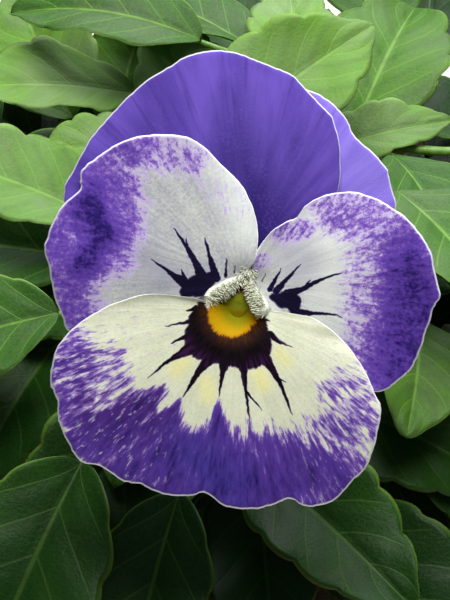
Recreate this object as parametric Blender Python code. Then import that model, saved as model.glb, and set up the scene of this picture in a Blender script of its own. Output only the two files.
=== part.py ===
"""A potted viola: one open bloom above a mound of crenate leaves, in a plain clay pot of potting mix.

The row frame is in metres, +Z up, with the origin at the centre of the pot's foot and the front at -Y.
The bloom has a frame of its own, in millimetres: x to the viewer's right, y up along the face, and z
out of the face, with the throat at the origin. Petal outlines are given there, as points (x, y).
"""

import math
import random

import bpy
from mathutils import Matrix, Vector
from mathutils.bvhtree import BVHTree

MM = 0.001

# Clay pot
POT_HEIGHT = 88.0
POT_RIM_RADIUS = 51.5
POT_RIM_BAND = 21.0
POT_RIM_STEP = 2.6
POT_FOOT_RADIUS = 34.0
POT_WALL = 4.6
POT_FLOOR = 7.0
POT_EDGE = 1.2
POT_SIDES = 40
DRAIN_HOLES = 3
DRAIN_RADIUS = 4.5
DRAIN_RING = 17.0

# Potting mix
SOIL_TOP = 78.0
SOIL_CROWN = 3.0
SOIL_GAP = 0.3
SOIL_SIDES = 30
SOIL_RINGS = 5
SOIL_BUMP = 0.9

# Leafy stems, placed by the golden angle
GOLDEN_ANGLE = math.radians(137.508)
STEMS = 12
STEM_RADIUS = 1.35
STEM_TIP_RADIUS = 0.85
STEM_SIDES = 6
STEM_ROOT_DEPTH = 9.0
STEM_HOLE_GAP = 0.6
ROOT_REACH = 22.0
TIP_REACH_LOW = 6.0
TIP_REACH_HIGH = 38.0
TIP_HEIGHT_HIGH = 34.0
TIP_HEIGHT_LOW = 18.0
FLOWERING_ROOT_REACH = 8.0
FLOWERING_TIP_REACH = 20.0

# Leaves, whose blades cover a dome
LEAVES = 84
FILLERS = 300
FILLER_TRIES = 60
FILLER_SIZE = 0.95
FILLER_SHRINK = 0.5
FILLER_LAYERS = (0.8, 1.02)
LOW_LEAVES = 40
LOW_LAYERS = (0.6, 0.8)
LEAF_SEED = 17
LEAF_TRIES = 240
LEAF_SHRINK = 0.4
LEAF_GAP = 0.35
DOME_RADIUS = 59.0
DOME_HEIGHT = 48.0
DOME_BACK = 4.0
DOME_SHOULDER = 0.7
DOME_LOWEST = math.radians(74)
DOME_LAYERS = (1.0, 0.89, 0.8)
LEAF_LENGTH_TOP = 23.0
LEAF_LENGTH_LOW = 32.0
LEAF_WIDTH_SHARE = 0.58
LEAF_THICKNESS = 0.62
LEAF_TEETH = 4
LEAF_TOOTH_DEPTH = 0.10
LEAF_FOLD = math.radians(15)
LEAF_TURN_DRAW = 0.16
LEAF_LAYER_DRAW = (-0.05, 0.03)
LEAF_LENGTH_DRAW = (0.85, 1.12)
LEAF_WIDTH_DRAW = (0.82, 1.1)
LEAF_HEADING_DRAW = 0.6
LEAF_RISE_TOP = 24.0
LEAF_RISE_LOSS = 40.0
LEAF_TILT_DRAW = 0.22
LEAF_DROOP_DRAW = (0.35, 0.95)
LEAF_WAVE = 0.09
LEAF_WAVES = 4.5
PETIOLE_RADIUS = 0.55
PETIOLE_SIDES = 4
PETIOLE_TAPER = (1.15, 1.0, 0.95, 0.7)
PETIOLE_IN_BLADE = 0.08
PETIOLE_LONGEST = 36.0
PETIOLE_ARCH = 0.4
PETIOLE_LEAD = 0.3
PETIOLE_LIFT_DRAW = (4, 11)
PETIOLE_LIFT_WEIGHT = 1.5
STEM_CHOICE = (0, 0, 1, 2, 4, 6)
RIM_ROOM_INSIDE = 9.0
RIM_ROOM_OUTSIDE = 2.5
RIM_ROOM_ABOVE = 2.0
SOIL_ROOM = 1.5
OVERHANG = 20.0
COVER_ABOVE = 25.0
COVER_REACH = 60.0

# Leaves that close the last gaps seen from in front of the bloom
GAP_SPOTS = (
    (-17.0, 13.0, 130.0), (24.5, -7.0, 99.0), (26.0, 4.0, 89.0),
    (-23.0, -51.5, 105.0), (-10.0, -51.0, 102.0), (10.0, -51.0, 102.0),
)
GAP_SEED = 1
GAP_TRIES = 500
GAP_ROUTES = 25
GAP_DRAW = 2.5
GAP_SHRINK = 0.5
GAP_ARCH_DRAW = (-0.3, 0.6)
GAP_LEAD_DRAW = (0.1, 0.6)

# Bloom: where the throat stands, how far the face tilts up, and the distance it is seen from
BLOOM_AT = Vector((0.0, -43.0, 138.0))
BLOOM_TILT = math.radians(45)
VIEW_DISTANCE = 260.0
VIEW_CENTRE = Vector((-1.1, 0.3))
VIEW_BEHIND = -9.0
VIEW_HALF_WIDTH = 26.0
VIEW_LOW = -27.0
VIEW_HIGH = 32.0
PETAL_THICKNESS = 0.6
PETAL_RINGS = (0.12, 0.3, 0.55, 0.8, 1.0)
BLOOM_DOME = 0.0065

# The five petals. Each has its foot (x, y), the depth of its foot and of its face, the width of its
# claw, how far it leans back, its ruffle as height, count and phase, and its outline, counterclockwise.
PETALS = {
    "petal_lower": {
        "foot": (0.3, -0.6), "foot_depth": -4.5, "face_depth": 0.7, "claw": 2.4, "lean": 0.05,
        "ruffle": (0.55, 7, 0.6),
        "outline": (
            (-3.4, 0.35), (-5.6, 0.7), (-8.6, 0.9), (-10.6, 0.5), (-12.8, -0.3), (-14.9, -1.5),
            (-16.6, -2.8), (-18.0, -4.8), (-18.6, -7.2), (-18.3, -8.7), (-17.8, -10.0),
            (-17.7, -11.7), (-16.8, -14.0), (-15.6, -15.7), (-13.6, -16.3), (-11.4, -17.7),
            (-9.6, -18.1), (-7.1, -19.1), (-4.6, -19.2), (-3.0, -19.0), (-1.2, -20.2),
            (1.2, -20.6), (3.2, -20.3), (5.4, -19.6), (7.1, -20.3), (9.6, -19.8), (11.4, -18.0),
            (13.1, -16.3), (14.1, -13.2), (14.5, -10.7), (13.9, -9.1), (13.2, -7.4), (11.6, -4.8),
            (10.0, -3.1), (7.9, -1.6), (5.4, -1.0), (3.9, -0.8),
        ),
    },
    "petal_side_left": {
        "foot": (0.5, 2.3), "foot_depth": -2.3, "face_depth": -1.3, "claw": 1.6, "lean": 0.045,
        "ruffle": (0.45, 6, 2.2),
        "outline": (
            (1.9, 4.8), (2.2, 6.4), (2.1, 8.0), (1.4, 10.3), (0.2, 12.2), (-1.8, 14.2),
            (-3.6, 15.9), (-5.5, 16.7), (-8.6, 16.8), (-11.1, 16.3), (-13.6, 14.8), (-15.3, 13.4),
            (-15.5, 12.2), (-15.6, 11.4), (-17.6, 9.3), (-18.9, 6.5), (-19.1, 5.3), (-18.6, 3.0),
            (-18.0, 0.3), (-17.2, -1.8), (-16.4, -2.9), (-13.6, -3.4), (-11.0, -2.6),
            (-7.6, -1.2), (-4.8, 0.0), (-2.5, 0.95),
        ),
    },
    "petal_side_right": {
        "foot": (1.7, 2.0), "foot_depth": -2.3, "face_depth": -1.3, "claw": 1.6, "lean": 0.045,
        "ruffle": (0.45, 6, 0.4),
        "outline": (
            (3.9, -0.9), (6.2, -3.6), (9.0, -6.0), (12.2, -8.2), (14.2, -8.9), (16.4, -7.6),
            (17.9, -5.9), (18.7, -3.7), (19.4, -1.7), (19.7, -0.5), (20.4, 0.8), (20.1, 2.1),
            (19.6, 4.5), (18.6, 6.6), (16.9, 8.6), (14.9, 9.9), (12.4, 11.0), (10.0, 11.0),
            (8.4, 10.6), (6.9, 9.7), (6.1, 8.6), (4.9, 8.1), (3.4, 7.0), (2.7, 6.0), (2.4, 4.9),
            (2.15, 3.9),
        ),
    },
    "petal_upper_left": {
        "foot": (0.8, 4.2), "foot_depth": -4.0, "face_depth": -3.1, "claw": 2.0, "lean": 0.075,
        "ruffle": (0.5, 7, 1.0),
        "outline": (
            (5.6, 5.9), (8.4, 8.6), (10.2, 11.3), (10.4, 14.3), (10.2, 16.5), (9.4, 18.8),
            (7.4, 20.8), (5.8, 22.6), (3.4, 23.6), (0.8, 24.7), (-1.8, 25.2), (-4.6, 24.7),
            (-6.6, 23.6), (-8.6, 22.3), (-10.9, 20.4), (-13.0, 18.2), (-14.8, 15.9), (-16.0, 13.7),
            (-17.1, 11.4), (-16.9, 9.4), (-14.6, 6.2), (-10.0, 4.2), (-4.6, 3.3),
        ),
    },
    "petal_upper_right": {
        "foot": (1.7, 4.0), "foot_depth": -5.1, "face_depth": -4.4, "claw": 2.0, "lean": 0.09,
        "ruffle": (0.5, 6, 2.6),
        "outline": (
            (6.4, 3.5), (11.0, 4.8), (14.2, 6.4), (15.9, 9.2), (15.3, 12.2), (15.0, 13.4),
            (13.4, 15.2), (11.9, 16.5), (10.9, 18.4), (9.2, 20.2), (7.0, 21.3), (4.6, 21.6),
            (2.6, 20.4), (1.4, 17.4), (1.0, 13.0), (1.0, 7.8),
        ),
    },
}

# Beards: the padded, hairy inner edges of the side petals, as points in the bloom's frame
BEARD_RADIUS = 0.5
BEARD_SWELL = (0.75, 1.0, 1.0, 0.7)
BEARDS = {
    "petal_side_left": (
        (0.35, 2.45, -2.1), (-0.7, 2.0, -1.5), (-1.6, 1.4, -1.1), (-2.4, 1.05, -0.8),
    ),
    "petal_side_right": (
        (1.6, 1.75, -1.9), (2.15, 0.8, -1.1), (2.65, 0.0, -0.5), (3.0, -0.65, 0.05),
    ),
}

# Claws: where each petal reaches back to the receptacle
CLAW_RADIUS = 0.45
CLAW_GAP = 0.3
CLAWS = {
    "petal_side_left": (-0.75, 2.4),
    "petal_side_right": (2.75, 2.3),
    "petal_upper_left": (0.2, 4.4),
    "petal_upper_right": (2.0, 4.2),
}

# Spur of the lower petal, pistil, and the receptacle with its sepals
SPUR_PATH = ((0.2, -0.75, -3.6), (0.1, -0.85, -5.5), (0.0, -1.1, -8.0), (0.0, -1.6, -10.6))
SPUR_RADII = (1.25, 1.15, 1.05, 0.95)
KNOB_AT = (0.2, 0.25, -1.1)
KNOB_RADIUS = 1.3
STYLE_PATH = ((0.25, 0.45, -2.0), (0.55, 1.4, -3.0), (0.85, 2.2, -3.7))
STYLE_RADII = (0.5, 0.4, 0.35)
ANTHERS = 5
ANTHER_CONE_AT = (0.9, 2.5)
ANTHER_GROOVE = 0.82
ANTHER_CONE = ((-5.7, 0.7), (-5.3, 1.0), (-4.7, 0.9), (-4.3, 0.5))
RECEPTACLE_AT = (1.0, 2.9)
RECEPTACLE_RADIUS = 2.25
RECEPTACLE_FRONT = -6.0
RECEPTACLE_DEPTH = 2.6
SEPAL_ANGLES = (92, 28, 156, 212, 322)
SEPAL_LENGTH = 9.5
SEPAL_WIDTH = 2.7
SEPAL_THICKNESS = 0.7
SEPAL_DEPTH = -7.2
SEPAL_LEAN = -0.14
SEPAL_SHARES = ((0.08, 0.55), (0.25, 0.85), (0.5, 1.0), (0.78, 0.62), (1.0, 0.16))
EAR_LENGTH = 2.6
EAR_SPREAD = 0.9
EAR_INSET = 0.2
EAR_WIDTHS = (1.3, 1.6, 0.9)
EAR_THICKNESS = 0.6

# Flower stalk, from the receptacle round a short crook and down to the stem that carries it
STALK_RADIUS = 0.85
STALK_PULL = 14.0
STALK_CROOK = ((1.0, 3.0, -7.6), (1.0, 3.6, -10.2), (1.1, 3.3, -12.6), (1.2, 1.9, -14.8))
BRACT_LENGTH = 4.5
BRACT_WIDTHS = (0.9, 1.1, 0.4)
BRACT_THICKNESS = 0.6
BRACT_SHARE = 0.5

# Colours, roughness and metallic value of each material
FINISHES = {
    "terracotta": ((0.52, 0.22, 0.12), 0.85),
    "potting_mix": ((0.045, 0.028, 0.018), 0.95),
    "leaf_green": ((0.08, 0.21, 0.05), 0.5),
    "petal_violet": ((0.13, 0.05, 0.42), 0.6),
    "petal_white": ((0.72, 0.70, 0.78), 0.6),
    "petal_cream": ((0.78, 0.76, 0.62), 0.6),
    "pistil_green": ((0.33, 0.40, 0.05), 0.45),
    "anther_orange": ((0.75, 0.32, 0.03), 0.6),
}


def material(name):
    """The shared material of that name, made the first time it is asked for."""
    made = bpy.data.materials.get(name)
    if made:
        return made
    colour, roughness = FINISHES[name]
    made = bpy.data.materials.new(name)
    made.use_nodes = True
    shader = made.node_tree.nodes["Principled BSDF"]
    shader.inputs["Base Color"].default_value = (*colour, 1.0)
    shader.inputs["Roughness"].default_value = roughness
    shader.inputs["Metallic"].default_value = 0.0
    made.diffuse_color = (*colour, 1.0)
    return made


def to_object(name, shape, finish):
    """An object from (points in millimetres, faces), with its place in its mesh."""
    points, faces = shape
    mesh = bpy.data.meshes.new(name)
    mesh.from_pydata([Vector(p) * MM for p in points], [], faces)
    mesh.materials.append(material(finish))
    made = bpy.data.objects.new(name, mesh)
    bpy.context.scene.collection.objects.link(made)
    return made


def smooth(made, angle=35):
    made.data.shade_smooth()
    made.data.set_sharp_from_angle(angle=math.radians(angle))
    return made


def applied(made, modifier):
    """Runs the object's one modifier into its mesh."""
    graph = bpy.context.evaluated_depsgraph_get()
    result = bpy.data.meshes.new_from_object(made.evaluated_get(graph))
    made.modifiers.remove(modifier)
    made.data = result
    return made


def fused(name, shapes, finish):
    """One object from closed shapes that overlap, joined by one Boolean union."""
    made = to_object(name, shapes[0], finish)
    others = bpy.data.collections.new(name + "_pieces")
    bpy.context.scene.collection.children.link(others)
    for index, shape in enumerate(shapes[1:]):
        piece = to_object(f"{name}_piece_{index}", shape, finish)
        bpy.context.scene.collection.objects.unlink(piece)
        others.objects.link(piece)
    union = made.modifiers.new("union", "BOOLEAN")
    union.operation = "UNION"
    union.operand_type = "COLLECTION"
    union.collection = others
    union.solver = "MANIFOLD"
    bpy.context.view_layer.update()
    applied(made, union)
    for piece in list(others.objects):
        bpy.data.objects.remove(piece)
    bpy.data.collections.remove(others)
    return smooth(made)


def cut(made, cutters):
    """Takes the cutters' shapes out of the object, one after the other."""
    for index, shape in enumerate(cutters):
        cutter = to_object(f"{made.name}_cutter_{index}", shape, "potting_mix")
        cutter.hide_render = True
        cutter.display_type = "WIRE"
        take = made.modifiers.new("cut", "BOOLEAN")
        take.object = cutter
        take.operation = "DIFFERENCE"
        take.solver = "EXACT"
        bpy.context.view_layer.update()
        applied(made, take)
        bpy.data.objects.remove(cutter)
    return made


def turned(profile, sides):
    """A solid turned about Z. The profile of (radius, height) runs from the axis round to the axis."""
    points, faces = [], []
    rows = []
    for radius, height in profile:
        if radius == 0:
            rows.append([len(points)] * sides)
            points.append((0.0, 0.0, height))
            continue
        rows.append(list(range(len(points), len(points) + sides)))
        for index in range(sides):
            turn = math.tau * index / sides
            points.append((radius * math.cos(turn), radius * math.sin(turn), height))
    for low, high in zip(rows, rows[1:]):
        for index in range(sides):
            after = (index + 1) % sides
            corners = (low[index], low[after], high[after], high[index])
            faces.append(tuple(dict.fromkeys(corners)))
    return points, faces


def across(direction, hint):
    """The unit vector nearest to the hint that is square to the direction."""
    square = hint - direction * hint.dot(direction)
    return square.normalized()


def tube(path, radii, sides):
    """A closed tube through the points, with a radius at each and flat ends."""
    path = [Vector(p) for p in path]
    points, faces = [], []
    side = Vector((1.0, 0.13, 0.07))
    for index, (centre, radius) in enumerate(zip(path, radii)):
        before, after = path[max(index - 1, 0)], path[min(index + 1, len(path) - 1)]
        along = (after - before).normalized()
        side = across(along, side)
        up = along.cross(side)
        for step in range(sides):
            turn = math.tau * step / sides
            points.append(centre + (side * math.cos(turn) + up * math.sin(turn)) * radius)
    for row in range(len(path) - 1):
        for step in range(sides):
            after = (step + 1) % sides
            low, high = row * sides, (row + 1) * sides
            faces.append((low + step, low + after, high + after, high + step))
    faces.append(tuple(reversed(range(sides))))
    faces.append(tuple(range(len(points) - sides, len(points))))
    return points, faces


def ball(centre, radius, sides=10, rings=6, stretch=1.0):
    """A ball turned about Z, stretched along it."""
    profile = []
    for index in range(rings + 1):
        turn = math.pi * index / rings
        wide = radius * math.sin(turn) if 0 < index < rings else 0
        profile.append((wide, -radius * stretch * math.cos(turn)))
    points, faces = turned(profile, sides)
    return [Vector(p) + Vector(centre) for p in points], faces


def bezier(a, b, c, d, count):
    """Points along a cubic curve."""
    found = []
    for index in range(count + 1):
        t = index / count
        s = 1 - t
        found.append(a * s**3 + b * 3 * s * s * t + c * 3 * s * t * t + d * t**3)
    return found


# Bloom


def bloom_matrix():
    """From the bloom's frame to the row frame, both in millimetres."""
    right = Vector((1, 0, 0))
    up = Vector((0, math.sin(BLOOM_TILT), math.cos(BLOOM_TILT)))
    out = Vector((0, -math.cos(BLOOM_TILT), math.sin(BLOOM_TILT)))
    turn = Matrix((right, up, out)).transposed()
    return Matrix.Translation(BLOOM_AT) @ turn.to_4x4()


def in_row_frame(shape):
    points, faces = shape
    place = bloom_matrix()
    return [place @ Vector(p) for p in points], faces


def seen_at(x, y, depth):
    """The point at that depth which is seen at (x, y) of the face from the viewing distance."""
    spread = 1 - depth / VIEW_DISTANCE
    return Vector((
        VIEW_CENTRE.x + (x - VIEW_CENTRE.x) * spread,
        VIEW_CENTRE.y + (y - VIEW_CENTRE.y) * spread,
        depth,
    ))


def petal_depth(petal, x, y, reach):
    """Depth of the petal's middle surface at (x, y); reach runs from 0 at the foot to 1 at the edge."""
    from_foot = math.hypot(x - petal["foot"][0], y - petal["foot"][1])
    bearing = math.atan2(y - petal["foot"][1], x - petal["foot"][0])
    claw = math.exp(-((from_foot / petal["claw"]) ** 2))
    height, count, phase = petal["ruffle"]
    ruffle = height * math.sin(count * bearing + phase) * reach**3
    dome = BLOOM_DOME * (x * x + y * y)
    lean = petal["lean"] * from_foot
    level = petal["face_depth"] + (petal["foot_depth"] - petal["face_depth"]) * claw
    return level - dome - lean + ruffle


def petal_shape(petal):
    """The petal's blade: rays from its foot to its outline, with a front and a back surface."""
    foot_x, foot_y = petal["foot"]
    rim = petal["outline"]
    half = PETAL_THICKNESS / 2
    points, faces = [], []
    for side in (half, -half):
        points.append(Vector((foot_x, foot_y, petal_depth(petal, foot_x, foot_y, 0) + side)))
        for reach in PETAL_RINGS:
            for x, y in rim:
                at_x, at_y = foot_x + (x - foot_x) * reach, foot_y + (y - foot_y) * reach
                depth = petal_depth(petal, at_x, at_y, reach) + side
                points.append(seen_at(at_x, at_y, depth))
    count, rings = len(rim), len(PETAL_RINGS)
    back = 1 + count * rings

    def at(ring, ray):
        return 1 + ring * count + ray

    for ray in range(count - 1):
        faces.append((0, at(0, ray), at(0, ray + 1)))
        faces.append((back, back + at(0, ray + 1), back + at(0, ray)))
        for ring in range(rings - 1):
            front = (at(ring, ray), at(ring + 1, ray), at(ring + 1, ray + 1), at(ring, ray + 1))
            faces += [(front[0], front[1], front[2]), (front[0], front[2], front[3])]
            behind = [back + index for index in front]
            faces += [(behind[0], behind[2], behind[1]), (behind[0], behind[3], behind[2])]
        edge = at(rings - 1, ray)
        faces.append((edge, back + edge, back + edge + 1, edge + 1))
    for ray, forward in ((0, True), (count - 1, False)):
        chain = [0] + [at(ring, ray) for ring in range(rings)]
        for low, high in zip(chain, chain[1:]):
            wall = (low, back + low, back + high, high)
            faces.append(wall if forward else tuple(reversed(wall)))
    return points, faces


def claw_shape(name):
    """The short claw from the petal back to just in front of the receptacle."""
    petal = PETALS[name]
    x, y = CLAWS[name]
    start = petal_depth(petal, x, y, 0.1)
    end = RECEPTACLE_FRONT + CLAW_GAP
    path = [(x, y, start), (x, y, (start + end) / 2), (x, y, end)]
    return tube(path, [CLAW_RADIUS] * len(path), 6)


def beard_shape(name):
    """The padded inner edge of a side petal."""
    radii = [BEARD_RADIUS * share for share in BEARD_SWELL]
    return tube(BEARDS[name], radii, 6)


def build_petals():
    finishes = {
        "petal_lower": "petal_cream",
        "petal_side_left": "petal_white",
        "petal_side_right": "petal_white",
        "petal_upper_left": "petal_violet",
        "petal_upper_right": "petal_violet",
    }
    for name, petal in PETALS.items():
        shapes = [petal_shape(petal)]
        if name in CLAWS:
            shapes.append(claw_shape(name))
        if name in BEARDS:
            shapes.append(beard_shape(name))
        if name == "petal_lower":
            shapes.append(tube(SPUR_PATH, SPUR_RADII, 8))
        fused(name, [in_row_frame(shape) for shape in shapes], finishes[name])


def build_pistil():
    shapes = [ball(KNOB_AT, KNOB_RADIUS), tube(STYLE_PATH, STYLE_RADII, 6)]
    fused("pistil", [in_row_frame(shape) for shape in shapes], "pistil_green")


def build_stamens():
    """The cone of five anthers round the ovary, with a groove between each two."""
    x, y = ANTHER_CONE_AT
    sides = 2 * ANTHERS
    points, faces = tube([(x, y, z) for z, _ in ANTHER_CONE], [r for _, r in ANTHER_CONE], sides)
    grooved = []
    for index, point in enumerate(points):
        centre = Vector((x, y, point.z))
        grooved.append(centre + (point - centre) * (1.0 if index % 2 else ANTHER_GROOVE))
    smooth(to_object("stamens", in_row_frame((grooved, faces)), "anther_orange"))


def strip(path, widths, normal, thickness):
    """A narrow leaf-like strip along a path, pointed where its width is nothing."""
    path = [Vector(p) for p in path]
    points, faces = [], []
    lift = Vector(normal).normalized() * thickness / 2
    for index, (centre, width) in enumerate(zip(path, widths)):
        before, after = path[max(index - 1, 0)], path[min(index + 1, len(path) - 1)]
        side = (after - before).cross(Vector(normal)).normalized() * width / 2
        points += [centre - side - lift, centre + side - lift, centre + side + lift, centre - side + lift]
    for row in range(len(path) - 1):
        low, high = row * 4, row * 4 + 4
        for step in range(4):
            after = (step + 1) % 4
            faces.append((low + step, high + step, high + after, low + after))
    faces.append((0, 1, 2, 3))
    last = len(points) - 4
    faces.append((last + 3, last + 2, last + 1, last))
    return points, faces


def sepal_shapes():
    """Five lance-shaped sepals behind the petals, each with an ear that points back."""
    x, y = RECEPTACLE_AT
    for angle in SEPAL_ANGLES:
        turn = math.radians(angle)
        out = Vector((math.cos(turn), math.sin(turn), 0))
        path = []
        for share, _ in SEPAL_SHARES:
            reach = share * SEPAL_LENGTH
            path.append(Vector((x, y, SEPAL_DEPTH + SEPAL_LEAN * reach)) + out * reach)
        widths = [SEPAL_WIDTH * share for _, share in SEPAL_SHARES]
        yield strip(path, widths, (0, 0, 1), SEPAL_THICKNESS)
        ear_from = Vector((x, y, SEPAL_DEPTH - EAR_INSET)) + out * (RECEPTACLE_RADIUS - EAR_INSET)
        ear_to = ear_from + out * EAR_SPREAD + Vector((0, 0, -EAR_LENGTH))
        yield strip([ear_from, (ear_from + ear_to) / 2, ear_to], EAR_WIDTHS, out, EAR_THICKNESS)


def stalk_path():
    """The flower stalk in the row frame, from inside the receptacle to the tip of its stem."""
    place = bloom_matrix()
    crook = [place @ Vector(p) for p in STALK_CROOK]
    foot = stem_path(0)[-2]
    fall = (crook[-1] - crook[-2]).normalized()
    rest = bezier(crook[-1], crook[-1] + fall * STALK_PULL * 0.6, foot + Vector((0, 0, STALK_PULL)), foot, 6)
    return crook[:-1] + rest


def bloom_green_shapes():
    """Receptacle, sepals, stalk and the pair of bracts on the stalk."""
    x, y = RECEPTACLE_AT
    back = RECEPTACLE_FRONT - RECEPTACLE_DEPTH
    cup = [(x, y, back), (x, y, (back + RECEPTACLE_FRONT) / 2), (x, y, RECEPTACLE_FRONT)]
    yield in_row_frame(tube(cup, [RECEPTACLE_RADIUS * 0.75, RECEPTACLE_RADIUS, RECEPTACLE_RADIUS], 10))
    for shape in sepal_shapes():
        yield in_row_frame(shape)
    path = stalk_path()
    yield tube(path, [STALK_RADIUS] * len(path), STEM_SIDES)
    middle = path[int(len(path) * BRACT_SHARE)]
    for side in (-1, 1):
        out = Vector((side * 0.6, 0.1, 0.9)).normalized()
        bract = [middle, middle + out * BRACT_LENGTH * 0.5, middle + out * BRACT_LENGTH]
        yield strip(bract, BRACT_WIDTHS, (0, 1, 0.1), BRACT_THICKNESS)


# Foliage


def stem_path(index):
    """Points along a leafy stem, from its root in the soil to its tip."""
    share = (index + 0.5) / STEMS
    turn = index * GOLDEN_ANGLE - math.pi / 2
    out = Vector((math.cos(turn), math.sin(turn), 0))
    foot = ROOT_REACH * math.sqrt(share)
    reach = TIP_REACH_LOW + (TIP_REACH_HIGH - TIP_REACH_LOW) * math.sqrt(share)
    if index == 0:
        foot, reach = FLOWERING_ROOT_REACH, FLOWERING_TIP_REACH
    soil = out * foot + Vector((0, 0, SOIL_TOP + 1.5))
    height = TIP_HEIGHT_HIGH + (TIP_HEIGHT_LOW - TIP_HEIGHT_HIGH) * share
    tip = out * reach + Vector((0, 0, SOIL_TOP + height))
    bend = soil + Vector((0, 0, height * 0.5))
    curve = bezier(soil, bend, tip - (tip - bend) * 0.35, tip, 4)
    return [soil - Vector((0, 0, STEM_ROOT_DEPTH))] + curve


def stem_shape(index):
    path = stem_path(index)
    last = len(path) - 1
    radii = [STEM_RADIUS + (STEM_TIP_RADIUS - STEM_RADIUS) * row / last for row in range(last + 1)]
    return tube(path, radii, STEM_SIDES)


def dome_point(share, turn, layer):
    """A point of the dome: share is 0 at its top and 1 at its foot, and layer scales it inwards."""
    down = math.acos(1 - share * (1 - math.cos(DOME_LOWEST)))
    reach = DOME_RADIUS * layer * math.sin(down)
    height = SOIL_TOP + DOME_HEIGHT * layer * math.cos(down) ** DOME_SHOULDER
    return Vector((reach * math.cos(turn), reach * math.sin(turn) + DOME_BACK, height))


class Leaf:
    """One leaf: its stem, the foot and frame of its blade, its size and its petiole."""

    def __init__(self, share, turn, layer, draw, shrink):
        """Draws a posture for a leaf at that share of the way down the dome and that turn round it."""
        turn += draw.uniform(-LEAF_TURN_DRAW, LEAF_TURN_DRAW)
        centre = dome_point(share, turn, layer + draw.uniform(*LEAF_LAYER_DRAW))
        out = Vector((math.cos(turn), math.sin(turn), 0))
        growth = min(1.0, 0.25 + 1.1 * share)
        self.length = LEAF_LENGTH_TOP + (LEAF_LENGTH_LOW - LEAF_LENGTH_TOP) * growth
        self.length *= draw.uniform(*LEAF_LENGTH_DRAW) * shrink
        self.half_width = self.length * LEAF_WIDTH_SHARE / 2 * draw.uniform(*LEAF_WIDTH_DRAW)
        heading = turn + draw.uniform(-LEAF_HEADING_DRAW, LEAF_HEADING_DRAW) * (1.6 - share)
        rise = math.radians(LEAF_RISE_TOP - LEAF_RISE_LOSS * share)
        rise += draw.uniform(-LEAF_TILT_DRAW, LEAF_TILT_DRAW)
        ahead = Vector((math.cos(heading), math.sin(heading), 0))
        self.along = ahead * math.cos(rise) + Vector((0, 0, math.sin(rise)))
        face = Vector((0, 0, 1)) + out * (0.25 + 0.5 * share)
        face += Vector([draw.uniform(-LEAF_TILT_DRAW, LEAF_TILT_DRAW) for _ in range(3)])
        self.normal = across(self.along, face)
        self.side = self.along.cross(self.normal)
        self.droop = draw.uniform(*LEAF_DROOP_DRAW)
        self.wave = draw.uniform(0, math.tau)
        self.arch, self.lead = PETIOLE_ARCH, PETIOLE_LEAD
        self.foot = centre - self.along * self.length * 0.5
        self.stem, self.joint = nearest_stem(self.foot, draw)

    def move_to(self, centre):
        """Moves the blade, so that its middle is at that point."""
        self.foot = centre - self.along * self.length * 0.5

    def reroute(self, draw):
        """Draws another way for the petiole."""
        self.stem, self.joint = nearest_stem(self.foot, draw)
        self.arch, self.lead = draw.uniform(*GAP_ARCH_DRAW), draw.uniform(*GAP_LEAD_DRAW)

    def spine(self, t):
        """A point of the midrib and the blade's normal there; t runs from 0 at the foot to 1 at the tip."""
        bend = self.droop * t
        radius = self.length / self.droop
        point = self.foot + self.along * radius * math.sin(bend)
        point = point - self.normal * radius * (1 - math.cos(bend))
        return point, self.normal * math.cos(bend) + self.along * math.sin(bend)

    def at(self, t, across_share, toothing=1.0):
        """A point of the blade's middle surface. across_share is 0 on the midrib and 1 at the edge."""
        centre, normal = self.spine(t)
        width = self.half_width * math.sin(math.pi * t**0.85) ** 0.75 * toothing
        offset = across_share * width
        lift = abs(offset) * math.sin(LEAF_FOLD)
        ripple = math.sin(LEAF_WAVES * math.pi * t + self.wave)
        lift += LEAF_WAVE * self.half_width * across_share**2 * ripple
        return centre + self.side * offset * math.cos(LEAF_FOLD) + normal * lift, normal

    def blade(self, thickness):
        """The blade as a closed plate, with rounded teeth along both edges."""
        steps = LEAF_TEETH * 2
        spine_steps = 4
        points, faces = [], []
        half = thickness / 2
        for side in (half, -half):
            for row in range(spine_steps + 1):
                t = min(max(row / spine_steps, 0.02), 0.985)
                centre, normal = self.spine(t)
                points.append(centre + normal * side)
            for hand in (-1, 1):
                for step in range(1, steps):
                    tooth = 1 + LEAF_TOOTH_DEPTH * (0.5 if step % 2 else -0.5)
                    point, normal = self.at(step / steps, hand, tooth)
                    points.append(point + normal * side)
        per_hand = steps - 1
        back = spine_steps + 1 + 2 * per_hand
        for hand in (0, 1):
            edge = [0] + [spine_steps + 1 + hand * per_hand + step for step in range(per_hand)]
            edge.append(spine_steps)
            for corners in strip_triangles(list(range(spine_steps + 1)), edge):
                forward = tuple(reversed(corners)) if hand else corners
                faces.append(forward)
                faces.append(tuple(back + corner for corner in reversed(forward)))
            for low, high in zip(edge, edge[1:]):
                wall = (low, high, back + high, back + low)
                faces.append(wall if not hand else tuple(reversed(wall)))
        return points, faces

    def petiole(self, radius):
        """The leaf's stalk, from inside its stem to under the foot of its blade."""
        start = self.spine(PETIOLE_IN_BLADE)[0]
        reach = (start - self.joint).length
        rise = Vector((0, 0, reach * self.arch))
        path = bezier(self.joint, self.joint + rise, start - self.along * reach * self.lead, start, 3)
        return tube(path, [radius * share for share in PETIOLE_TAPER], PETIOLE_SIDES)


def nearest_stem(foot, draw):
    """One of the few stems that could carry a leaf with this foot, and where its petiole starts."""
    lift = draw.uniform(*PETIOLE_LIFT_DRAW)
    found = []
    for index in range(STEMS):
        path = stem_path(index)
        for row in range(2, len(path)):
            for share in (0.0, 0.5):
                point = path[row].lerp(path[row - 1], share)
                gap = foot - point
                found.append((gap.length + PETIOLE_LIFT_WEIGHT * abs(gap.z - lift), index, point))
    found.sort(key=lambda entry: entry[0])
    _, index, point = found[draw.choice(STEM_CHOICE)]
    return index, point


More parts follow.
